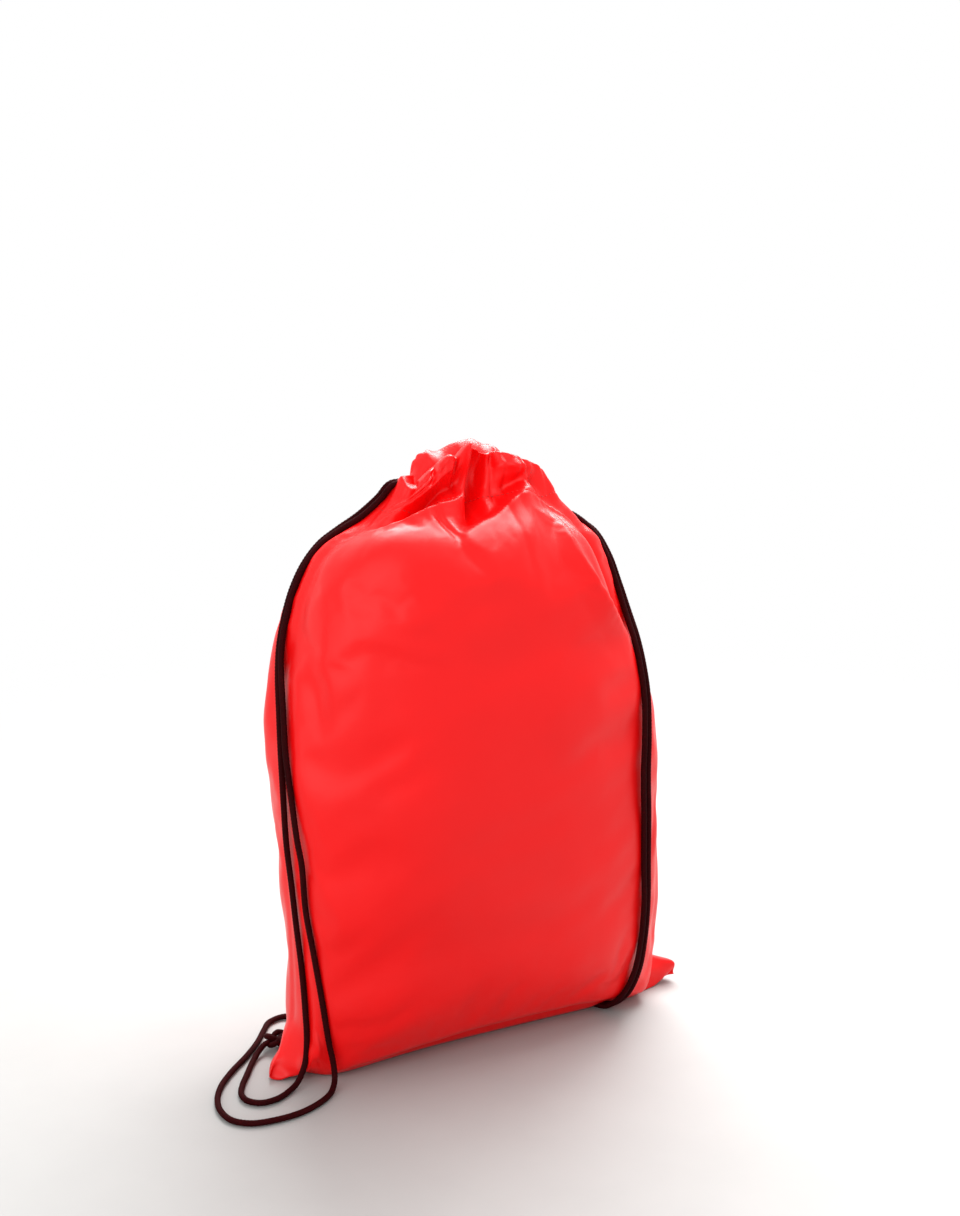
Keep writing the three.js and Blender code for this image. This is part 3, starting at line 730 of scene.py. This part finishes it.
def torus_knot(count):
    """Trefoil on a ring: two turns around the axis while the line winds three times, in millimetres."""
    turn = np.linspace(0, 4 * np.pi, count, endpoint=False)
    wind = 1.5 * turn
    ring = KNOT_SIZE * (2 + np.cos(wind)) / 2
    return np.stack([ring * np.cos(turn), ring * np.sin(turn), KNOT_SIZE * np.sin(wind) / 2], -1)


class ClothSettings(bpy.types.PropertyGroup):
    """Satin pouch."""

    colour: bpy.props.FloatVectorProperty(
        name="Satin", description="Colour of the satin", subtype="COLOR", size=4,
        default=(0.82, 0.0015, 0.0022, 1.0), min=0, max=1)
    thread_pitch: bpy.props.FloatProperty(
        name="Thread pitch", description="Distance between neighbouring threads of the weave",
        subtype="DISTANCE", default=0.0006, min=0.0001, max=0.003)
    stitch_length: bpy.props.FloatProperty(
        name="Stitch length", description="Length of one stitch along the hem",
        subtype="DISTANCE", default=0.0024, min=0.001, max=0.01)
    stitch_pitch: bpy.props.FloatProperty(
        name="Stitch pitch", description="Distance from one stitch to the next",
        subtype="DISTANCE", default=0.0033, min=0.001, max=0.02)
    thread_width: bpy.props.FloatProperty(
        name="Thread width", description="Thickness of the sewing thread",
        subtype="DISTANCE", default=0.0006, min=0.0002, max=0.002)


class CordSettings(bpy.types.PropertyGroup):
    """Braided drawcords."""

    colour: bpy.props.FloatVectorProperty(
        name="Braid", description="Colour of the braid", subtype="COLOR", size=4,
        default=(0.026, 0.0005, 0.0012, 1.0), min=0, max=1)
    diameter: bpy.props.FloatProperty(
        name="Diameter", description="Thickness of a cord", subtype="DISTANCE",
        default=0.004, min=0.002, max=0.01)
    yarn_pairs: bpy.props.IntProperty(
        name="Yarn pairs", description="Pairs of yarns that the braid is plaited from",
        default=4, min=2, max=12)
    yarn_pitch: bpy.props.FloatProperty(
        name="Yarn pitch", description="Distance along the cord between neighbouring yarns",
        subtype="DISTANCE", default=0.0022, min=0.0005, max=0.01)
    relief: bpy.props.FloatProperty(
        name="Relief", description="Depth of the braid as a share of the radius", subtype="FACTOR",
        default=0.14, min=0, max=0.4)


class StageSettings(bpy.types.PropertyGroup):
    """Floor and light."""

    floor_colour: bpy.props.FloatVectorProperty(
        name="Floor", description="Colour of the floor", subtype="COLOR", size=4,
        default=(0.36, 0.356, 0.348, 1.0), min=0, max=1)
    sky: bpy.props.FloatProperty(
        name="Sky", description="Strength of the even light from all around", default=0.95, min=0, max=5)
    key: bpy.props.FloatProperty(
        name="Key", description="Power of the lamp above", subtype="POWER", default=14.0, min=0)
    fill: bpy.props.FloatProperty(
        name="Fill", description="Power of the lamp on the left", subtype="POWER", default=24.0, min=0)
    rim: bpy.props.FloatProperty(
        name="Rim", description="Power of the lamp behind", subtype="POWER", default=46.0, min=0)


def node(tree, kind, **sockets):
    """A shader node with its inputs set by name; a name with two underscores stands for one with a space."""
    made = tree.nodes.new(kind)
    for name, value in sockets.items():
        made.inputs[name.replace("__", " ")].default_value = value
    return made


def material(name):
    """A new node material with its tree and its shader."""
    made = bpy.data.materials.new(name)
    made.use_nodes = True
    return made, made.node_tree, made.node_tree.nodes["Principled BSDF"]


def ramp(tree, source, stops):
    """A colour ramp over a value, from pairs of place and colour."""
    made = tree.nodes.new("ShaderNodeValToRGB")
    while len(made.color_ramp.elements) < len(stops):
        made.color_ramp.elements.new(0.5)
    for element, (place, colour) in zip(made.color_ramp.elements, stops):
        element.position = place
        element.color = colour
    tree.links.new(source, made.inputs["Fac"])
    return made.outputs["Color"]


def shade(colour, factor):
    """A colour made lighter or darker by a factor."""
    return tuple(min(1.0, factor * part) for part in colour[:3]) + (1.0,)


def band_scale(pitch):
    """Scale at which a wave texture repeats once in a pitch."""
    return 2 * math.pi / (WAVE_TEXTURE_PACE * pitch)


def satin_material(settings):
    """Red satin: crossed threads on the flat map, cloudy tone and gloss, and a faint pucker."""
    made, tree, shader = material("red_satin")
    link = tree.links.new
    flat = tree.nodes.new("ShaderNodeUVMap")
    flat.uv_map = "flat"
    place = tree.nodes.new("ShaderNodeTexCoord")
    weave = []
    scale = band_scale(settings.thread_pitch)
    for direction in ("X", "Y"):
        threads = node(tree, "ShaderNodeTexWave", Scale=scale, Distortion=0.4, Detail=1.0)
        threads.bands_direction = direction
        link(flat.outputs["UV"], threads.inputs["Vector"])
        weave.append(threads)
    crossed = tree.nodes.new("ShaderNodeMath")
    crossed.operation = "MULTIPLY"
    link(weave[0].outputs["Fac"], crossed.inputs[0])
    link(weave[1].outputs["Fac"], crossed.inputs[1])
    cloud = node(tree, "ShaderNodeTexNoise", Scale=9.0, Detail=4.0, Roughness=0.55)
    link(place.outputs["Object"], cloud.inputs["Vector"])
    tone = ramp(tree, cloud.outputs["Fac"], [
        (0.3, shade(settings.colour, 0.94)),
        (0.55, tuple(settings.colour)),
        (0.8, shade(settings.colour, 1.06)),
    ])
    link(tone, shader.inputs["Base Color"])
    rough = node(tree, "ShaderNodeMapRange", To__Min=0.33, To__Max=0.4)
    link(cloud.outputs["Fac"], rough.inputs["Value"])
    link(rough.outputs["Result"], shader.inputs["Roughness"])
    pucker = node(tree, "ShaderNodeTexNoise", Scale=70.0, Detail=3.0, Roughness=0.5)
    link(place.outputs["Object"], pucker.inputs["Vector"])
    broad = node(tree, "ShaderNodeBump", Strength=0.16, Distance=0.0012)
    link(pucker.outputs["Fac"], broad.inputs["Height"])
    fine = node(tree, "ShaderNodeBump", Strength=0.18, Distance=0.0001)
    link(crossed.outputs["Value"], fine.inputs["Height"])
    link(broad.outputs["Normal"], fine.inputs["Normal"])
    link(fine.outputs["Normal"], shader.inputs["Normal"])
    shader.inputs["Specular IOR Level"].default_value = 0.27
    return made


def braid_material(settings):
    """Dark braid: fine specks of darker and lighter yarn, and slanted fibres on the flat map."""
    made, tree, shader = material("dark_braid")
    link = tree.links.new
    flat = tree.nodes.new("ShaderNodeUVMap")
    flat.uv_map = "flat"
    place = tree.nodes.new("ShaderNodeTexCoord")
    speck = node(tree, "ShaderNodeTexNoise", Scale=900.0, Detail=3.0, Roughness=0.6)
    link(place.outputs["Object"], speck.inputs["Vector"])
    tone = ramp(tree, speck.outputs["Fac"], [
        (0.25, shade(settings.colour, 0.45)),
        (0.55, tuple(settings.colour)),
        (0.8, shade(settings.colour, 2.2)),
    ])
    link(tone, shader.inputs["Base Color"])
    fibres = node(tree, "ShaderNodeTexWave", Scale=band_scale(FIBRE_PITCH), Distortion=2.0, Detail=2.0)
    fibres.bands_direction = "DIAGONAL"
    link(flat.outputs["UV"], fibres.inputs["Vector"])
    bump = node(tree, "ShaderNodeBump", Strength=0.3, Distance=0.0001)
    link(fibres.outputs["Fac"], bump.inputs["Height"])
    link(bump.outputs["Normal"], shader.inputs["Normal"])
    shader.inputs["Roughness"].default_value = 0.75
    shader.inputs["Specular IOR Level"].default_value = 0.05
    return made


def thread_material(settings):
    """Sewing thread: the satin's red, a shade deeper, with a fine fleck."""
    made, tree, shader = material("red_thread")
    link = tree.links.new
    place = tree.nodes.new("ShaderNodeTexCoord")
    fleck = node(tree, "ShaderNodeTexNoise", Scale=1500.0, Detail=2.0)
    link(place.outputs["Object"], fleck.inputs["Vector"])
    tone = ramp(tree, fleck.outputs["Fac"], [
        (0.3, shade(settings.colour, 0.55)), (0.7, shade(settings.colour, 0.9))])
    link(tone, shader.inputs["Base Color"])
    shader.inputs["Roughness"].default_value = 0.5
    return made


def floor_material(settings):
    """Pale matt floor with a faint grain, fading to the white of the surroundings far from the bag."""
    made, tree, shader = material("pale_floor")
    link = tree.links.new
    place = tree.nodes.new("ShaderNodeTexCoord")
    grain = node(tree, "ShaderNodeTexNoise", Scale=14.0, Detail=5.0, Roughness=0.6)
    link(place.outputs["Object"], grain.inputs["Vector"])
    tone = ramp(tree, grain.outputs["Fac"], [
        (0.3, shade(settings.floor_colour, 0.98)), (0.7, shade(settings.floor_colour, 1.02))])
    link(tone, shader.inputs["Base Color"])
    shader.inputs["Roughness"].default_value = 0.7
    reach = tree.nodes.new("ShaderNodeVectorMath")
    reach.operation = "LENGTH"
    link(place.outputs["Object"], reach.inputs[0])
    near, far = FLOOR_FADE
    fade = node(tree, "ShaderNodeMapRange", From__Min=near, From__Max=far, To__Min=1.0, To__Max=0.0)
    fade.interpolation_type = "SMOOTHSTEP"
    link(reach.outputs["Value"], fade.inputs["Value"])
    link(fade.outputs["Result"], shader.inputs["Alpha"])
    return made


def add_camera():
    """Camera at the photograph's turn and distance, beside and above the line through the bag's middle."""
    a, e = math.radians(VIEW_AZIMUTH), math.radians(VIEW_PITCH)
    back = Vector((math.sin(a) * math.cos(e), -math.cos(a) * math.cos(e), math.sin(e)))
    right = Vector((math.cos(a), math.sin(a), 0.0))
    up = back.cross(right)
    data = bpy.data.cameras.new("camera")
    data.sensor_width = SENSOR
    data.lens = SENSOR * VIEW_FOCUS / IMAGE_HEIGHT
    data.clip_start, data.clip_end = CLIP_NEAR, CLIP_FAR
    camera = bpy.data.objects.new("camera", data)
    place = Vector(VIEW_CENTRE) + VIEW_SLIDE[0] * right + VIEW_SLIDE[1] * up + VIEW_DISTANCE * back
    camera.matrix_world = Matrix.Translation(place) @ Matrix((right, up, back)).transposed().to_4x4()
    bpy.context.scene.collection.objects.link(camera)
    bpy.context.scene.camera = camera


def add_lamp(name, place, target, size, power):
    """A soft rectangular lamp turned to a target, its long side across the camera's view."""
    a = math.radians(VIEW_AZIMUTH)
    facing = (Vector(place) - Vector(target)).normalized()
    across = Vector((math.cos(a), math.sin(a), 0.0))
    across = (across - facing * across.dot(facing)).normalized()
    data = bpy.data.lights.new(name, "AREA")
    data.shape = "RECTANGLE"
    data.size, data.size_y = size
    data.energy = power
    lamp = bpy.data.objects.new(name, data)
    turned = Matrix((across, facing.cross(across), facing)).transposed().to_4x4()
    lamp.matrix_world = Matrix.Translation(place) @ turned
    bpy.context.scene.collection.objects.link(lamp)


def add_surroundings(settings):
    """White all round for the camera and for reflections, and an even, weaker light on surfaces."""
    world = bpy.data.worlds.new("surroundings")
    world.use_nodes = True
    tree = world.node_tree
    link = tree.links.new
    seen = tree.nodes.new("ShaderNodeLightPath")
    direct = tree.nodes.new("ShaderNodeMath")
    direct.operation = "MAXIMUM"
    link(seen.outputs["Is Camera Ray"], direct.inputs[0])
    link(seen.outputs["Is Transmission Ray"], direct.inputs[1])
    shown = tree.nodes.new("ShaderNodeMath")
    shown.operation = "MAXIMUM"
    link(direct.outputs["Value"], shown.inputs[0])
    link(seen.outputs["Is Glossy Ray"], shown.inputs[1])
    strength = node(tree, "ShaderNodeMapRange", To__Min=settings.sky, To__Max=1.0)
    link(shown.outputs["Value"], strength.inputs["Value"])
    link(strength.outputs["Result"], tree.nodes["Background"].inputs["Strength"])
    tree.nodes["Background"].inputs["Color"].default_value = (1.0, 1.0, 1.0, 1.0)
    bpy.context.scene.world = world


def join_tubes(tubes):
    """Points, faces and flat map of several tubes put one after another."""
    points, faces, maps, start = [], [], [], 0
    for tube_points, tube_faces, tube_map in tubes:
        points.append(tube_points)
        faces.append(tube_faces + start)
        maps.append(tube_map)
        start += len(tube_points)
    return np.concatenate(points), np.concatenate(faces), np.concatenate(maps)


def strand_tube(path, settings, closed=False):
    """Points, quads and flat map of a braided strand; its ends are domed, or it is closed on itself."""
    rings, distance = braided_tube(path, settings.diameter / 2, settings, closed)
    around = np.linspace(0, np.pi * settings.diameter, CORD_SIDES + 1)
    if closed:
        distance = np.append(distance, 2 * distance[-1] - distance[-2])
    faces = ring_faces(len(path), CORD_SIDES, wrap_rows=closed)
    return rings.reshape(-1, 3), faces, ring_map(around, distance)


def knot_middle(hand):
    """Middle of the left (-1) or right (1) knot, in millimetres."""
    return np.array([hand * KNOT_ACROSS, KNOT_BACK, KNOT_UP])


def knot_end(route):
    """Where a strand ends inside its knot: part of the way from the route's end to the knot's middle."""
    last = np.array(route[-1])
    return tuple(mix(last, knot_middle(np.sign(last[0])) * MM, KNOT_BITE))


def knot_root():
    """Straight line from the knot's middle, in and up at a slope, into the corner of the bag."""
    slope = math.radians(ROOT_SLOPE)
    reach = np.array([0.0, -math.cos(slope), math.sin(slope)])
    return np.linspace(0, ROOT_LENGTH, int(ROOT_LENGTH * MM / CORD_RING_STEP))[:, None] * reach


def vertex_array(mesh):
    """The mesh's points as rows of an array."""
    points = np.empty(3 * len(mesh.vertices), np.float32)
    mesh.vertices.foreach_get("co", points)
    return points.reshape(-1, 3)


def normal_array(mesh):
    """The outward directions at the mesh's points as rows of an array."""
    normals = np.empty(3 * len(mesh.vertices), np.float32)
    mesh.vertex_normals.foreach_get("vector", normals)
    return normals.reshape(-1, 3)


def weigh(piece, name, weights):
    """A vertex group that holds each point's weight, in even steps from 0 to 1."""
    group = piece.vertex_groups.new(name=name)
    steps = np.round(weights * WEIGHT_STEPS).astype(int)
    for step in np.unique(steps):
        group.add(np.flatnonzero(steps == step).tolist(), step / WEIGHT_STEPS, "REPLACE")
    return group


def settle_cloth(pouch, hold, seam):
    """Cloth simulation of the stuffed pouch: pressure from inside on satin that is a little slack in the
    panels and tight along its seams, held where hold is 1. A point moves at most CLOTH_REACH."""
    start = vertex_array(pouch.data)
    groups = [weigh(pouch, "hold", hold), weigh(pouch, "seam", seam)]
    cloth = pouch.modifiers.new("cloth", "CLOTH")
    settings = cloth.settings
    settings.quality = CLOTH_QUALITY
    settings.mass = CLOTH_MASS
    settings.tension_stiffness = CLOTH_STRETCH
    settings.compression_stiffness = CLOTH_STRETCH
    settings.shear_stiffness = CLOTH_SHEAR
    settings.bending_stiffness = CLOTH_BEND
    settings.use_pressure = True
    settings.uniform_pressure_force = CLOTH_PRESSURE
    settings.shrink_min = CLOTH_SLACK
    settings.shrink_max = SEAM_SHRINK
    settings.vertex_group_mass = "hold"
    settings.vertex_group_shrink = "seam"
    settings.effector_weights.gravity = 0
    cloth.collision_settings.use_collision = False
    scene = bpy.context.scene
    for step in range(1, CLOTH_FRAMES + 1):
        scene.frame_set(step)
    settled = vertex_array(pouch.evaluated_get(bpy.context.evaluated_depsgraph_get()).data)
    pouch.modifiers.remove(cloth)
    for group in groups:
        pouch.vertex_groups.remove(group)
    scene.frame_set(1)
    move = settled - start
    size = np.linalg.norm(move, axis=1, keepdims=True)
    move *= CLOTH_REACH * np.tanh(size / CLOTH_REACH) / np.maximum(size, NO_LENGTH)
    pouch.data.vertices.foreach_set("co", (start + move).ravel())
    pouch.data.update()


def cloth_weights(points, faces):
    """How far each point is held, at the mouth, by the strands and on the base, and how near a seam it is."""
    rows, columns = points.shape[:2]
    s = around_panels()
    row = np.arange(rows)[:, None]
    flat = points.reshape(-1, 3)
    nearest = np.full(len(flat), np.inf)
    for route in CORD_ROUTES.values():
        path = strand_path(route, PRESS_STEP)[0]
        nearest = np.minimum(nearest, np.linalg.norm(flat[:, None] - path[None], axis=2).min(axis=1))
    hold = 1 - smoothstep(nearest, *HOLD_BESIDE).reshape(rows, columns)
    hold = np.maximum(hold, smoothstep(points[..., 2], *HOLD_ABOVE))
    hold = np.maximum(hold, 1 - smoothstep(row, BASE_ROWS, BASE_ROWS + HOLD_ROWS))
    seam = np.exp(-(((1 - np.abs(s)) / SEAM_SPREAD) ** 2)) * np.ones((rows, 1))
    used = np.unique(faces)
    return hold.ravel()[used], seam.ravel()[used]


def stitch_points(line, normals, settings):
    """Stitches along a closed line: short round threads that dip into the cloth at both ends.
    Gives points by stitch, ring along the stitch and place around it."""
    loop = np.concatenate([line, line[:1]])
    lengths = line_lengths(loop)
    count = int(lengths[-1] / settings.stitch_pitch)
    at = np.arange(count) * lengths[-1] / count
    along_stitch = np.linspace(-1, 1, STITCH_RINGS)
    offsets = (at[:, None] + along_stitch * settings.stitch_length / 2) % lengths[-1]
    normals = np.concatenate([normals, normals[:1]])
    middle = np.stack([np.interp(offsets, lengths, loop[:, k]) for k in range(3)], -1)
    out = np.stack([np.interp(offsets, lengths, normals[:, k]) for k in range(3)], -1)
    out /= np.linalg.norm(out, axis=-1, keepdims=True)
    forward = np.gradient(middle, axis=1)
    forward /= np.linalg.norm(forward, axis=-1, keepdims=True)
    beside = np.cross(forward, out)
    radius = settings.thread_width / 2 * np.sqrt(np.maximum(1 - along_stitch**2, STITCH_TIP))
    turn = np.linspace(0, 2 * np.pi, STITCH_SIDES, endpoint=False)[:, None]
    round_out = np.cos(turn) * out[:, :, None] + np.sin(turn) * beside[:, :, None]
    rise = (1 - along_stitch**2) * settings.thread_width / 3
    return (middle + out * rise[None, :, None])[:, :, None] + radius[None, :, None, None] * round_out


def joined_ends(faces, rows, columns):
    """Quads whose first and last rings are closed: the back half's points there give way to the front's."""
    number = np.arange(rows * columns)
    back = np.arange(1, columns // 2)
    for row in (0, rows - 1):
        number[row * columns + columns // 2 + back] = row * columns + columns // 2 - back
    return number[faces]


def press_pouch(pouch, outward):
    """The pouch's points slide against the outward directions where a strand presses into the satin."""
    paths = [strand_path(route, PRESS_STEP)[0][PRESS_START:] for route in CORD_ROUTES.values()]
    reach = bpy.context.scene.sportsbag_cord.diameter / 2 + CORD_GAP * MM
    pressed = pressed_by_cords(vertex_array(pouch.data), outward, paths, reach)
    pouch.data.vertices.foreach_set("co", pressed.astype(np.float32).ravel())
    pouch.data.update()


class SPORTSBAG_OT_stage(bpy.types.Operator):
    """Set up the camera, the floor, the lamps and the white surroundings"""

    bl_idname = "sportsbag.stage"
    bl_label = "Stage"

    def execute(self, context):
        settings = context.scene.sportsbag_stage
        add_camera()
        add_surroundings(settings)
        for name, (place, target, size, power) in LAMPS.items():
            add_lamp(name, place, target, size, getattr(settings, power))
        turn = np.linspace(0, 2 * np.pi, FLOOR_SIDES, endpoint=False)
        circle = np.stack([np.cos(turn), np.sin(turn), 0 * turn], -1)
        rings = (circle * np.array(FLOOR_RINGS)[:, None, None]).reshape(-1, 3)
        faces = ring_faces(len(FLOOR_RINGS), FLOOR_SIDES)
        floor = new_object("floor", rings, faces, floor_material(settings))
        context.scene.view_settings.view_transform = "Standard"
        return {"FINISHED"}


class SPORTSBAG_OT_cords(bpy.types.Operator):
    """Lay the four braided strands along their routes"""

    bl_idname = "sportsbag.cords"
    bl_label = "Cords"

    def execute(self, context):
        settings = context.scene.sportsbag_cord
        braid = bpy.data.materials["dark_braid"]
        for name, route in CORD_ROUTES.items():
            path, length = strand_path(route + [knot_end(route)], CORD_RING_STEP)
            points, faces, flat_map = strand_tube(path, settings)
            strand = new_object(name + "_braid", points, faces, braid, flat_map)
            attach(strand, "root")
            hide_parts(name)
        return {"FINISHED"}


class SPORTSBAG_OT_knots(bpy.types.Operator):
    """Tie the knots that join each pair of strands at the corners"""

    bl_idname = "sportsbag.knots"
    bl_label = "Knots"

    def execute(self, context):
        settings = context.scene.sportsbag_cord
        braid = braid_material(settings)
        tie = torus_knot(round(4 * KNOT_SIZE * np.pi * MM / CORD_RING_STEP))
        for name, hand in (("left_knot", -1), ("right_knot", 1)):
            middle = knot_middle(hand)
            tubes = [
                strand_tube((middle + tie) * MM, settings, closed=True),
                strand_tube((middle + knot_root()) * MM, settings),
            ]
            points, faces, flat_map = join_tubes(tubes)
            knot = new_object(name + "_braid", points, faces, braid, flat_map)
            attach(knot, "root")
            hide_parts(name)
        return {"FINISHED"}


class SPORTSBAG_OT_pouch(bpy.types.Operator):
    """Stuff the satin pouch, gather its mouth and crumple its corners"""

    bl_idname = "sportsbag.pouch"
    bl_label = "Pouch"

    def execute(self, context):
        settings = context.scene.sportsbag_cloth
        points, across, up = pouch_grid()
        rows, columns = points.shape[:2]
        faces = joined_ends(ring_faces(rows, columns), rows, columns)
        points = points.reshape(-1, 3) * MM
        flat_map = ring_map(across * MM, up * MM)
        pouch = new_object("satin_pouch", points, faces, satin_material(settings), flat_map)
        outward = normal_array(pouch.data)
        press_pouch(pouch, outward)
        settle_cloth(pouch, *cloth_weights(points.reshape(rows, columns, 3), faces))
        press_pouch(pouch, outward)
        smooth = pouch.modifiers.new("smooth", "SUBSURF")
        smooth.levels = smooth.render_levels = 1
        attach(pouch, "root")
        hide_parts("pouch")
        return {"FINISHED"}


class SPORTSBAG_OT_stitching(bpy.types.Operator):
    """Sew the row of stitches that closes the drawcord's channel"""

    bl_idname = "sportsbag.stitching"
    bl_label = "Stitching"

    def execute(self, context):
        settings = context.scene.sportsbag_cloth
        pouch = bpy.data.objects["satin_pouch"]
        mesh = pouch.evaluated_get(context.evaluated_depsgraph_get()).data
        row = BASE_ROWS + np.argmin(np.abs(wall_downs() * PANEL_LENGTH - HEM_HEIGHT))
        # The closed first ring has given up the points of its back half
        ring = row * 2 * COLUMNS - (COLUMNS - 1) + np.arange(2 * COLUMNS)
        stitches = stitch_points(vertex_array(mesh)[ring], normal_array(mesh)[ring], settings)
        count, rings, sides = stitches.shape[:3]
        one = ring_faces(rings, sides)
        faces = (one[None] + (np.arange(count) * rings * sides)[:, None, None]).reshape(-1, 4)
        thread = thread_material(settings)
        row_of_stitches = new_object("hem_stitches", stitches.reshape(-1, 3), faces, thread)
        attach(row_of_stitches, "root")
        return {"FINISHED"}


class SPORTSBAG_PT_panel(bpy.types.Panel):
    """Sizes and colours of the bag, and a button for each group of pieces"""

    bl_idname = "SPORTSBAG_PT_panel"
    bl_label = "Sports bag"
    bl_space_type = "VIEW_3D"
    bl_region_type = "UI"
    bl_category = "Sports bag"

    def draw(self, context):
        layout = self.layout
        for operator in OPERATORS:
            layout.operator(operator.bl_idname)
        for name, group in SETTINGS.items():
            box = layout.box()
            box.label(text=group.__doc__)
            for key in group.__annotations__:
                box.prop(getattr(context.scene, name), key)


SETTINGS = {
    "sportsbag_cloth": ClothSettings,
    "sportsbag_cord": CordSettings,
    "sportsbag_stage": StageSettings,
}
OPERATORS = (
    SPORTSBAG_OT_stage,
    SPORTSBAG_OT_knots,
    SPORTSBAG_OT_cords,
    SPORTSBAG_OT_pouch,
    SPORTSBAG_OT_stitching,
)


def register():
    """Register the classes and hang the settings on the scene."""
    for name, group in SETTINGS.items():
        bpy.utils.register_class(group)
        setattr(bpy.types.Scene, name, bpy.props.PointerProperty(type=group))
    for kind in OPERATORS + (SPORTSBAG_PT_panel,):
        bpy.utils.register_class(kind)


def unregister():
    """Take the classes and the settings off again."""
    for kind in (SPORTSBAG_PT_panel,) + OPERATORS[::-1]:
        bpy.utils.unregister_class(kind)
    for name, group in SETTINGS.items():
        delattr(bpy.types.Scene, name)
        bpy.utils.unregister_class(group)


def main():
    """Build the stage and every piece."""
    register()
    bpy.ops.sportsbag.stage()
    bpy.ops.sportsbag.knots()
    bpy.ops.sportsbag.cords()
    bpy.ops.sportsbag.pouch()
    bpy.ops.sportsbag.stitching()


if __name__ == "__main__":
    main()
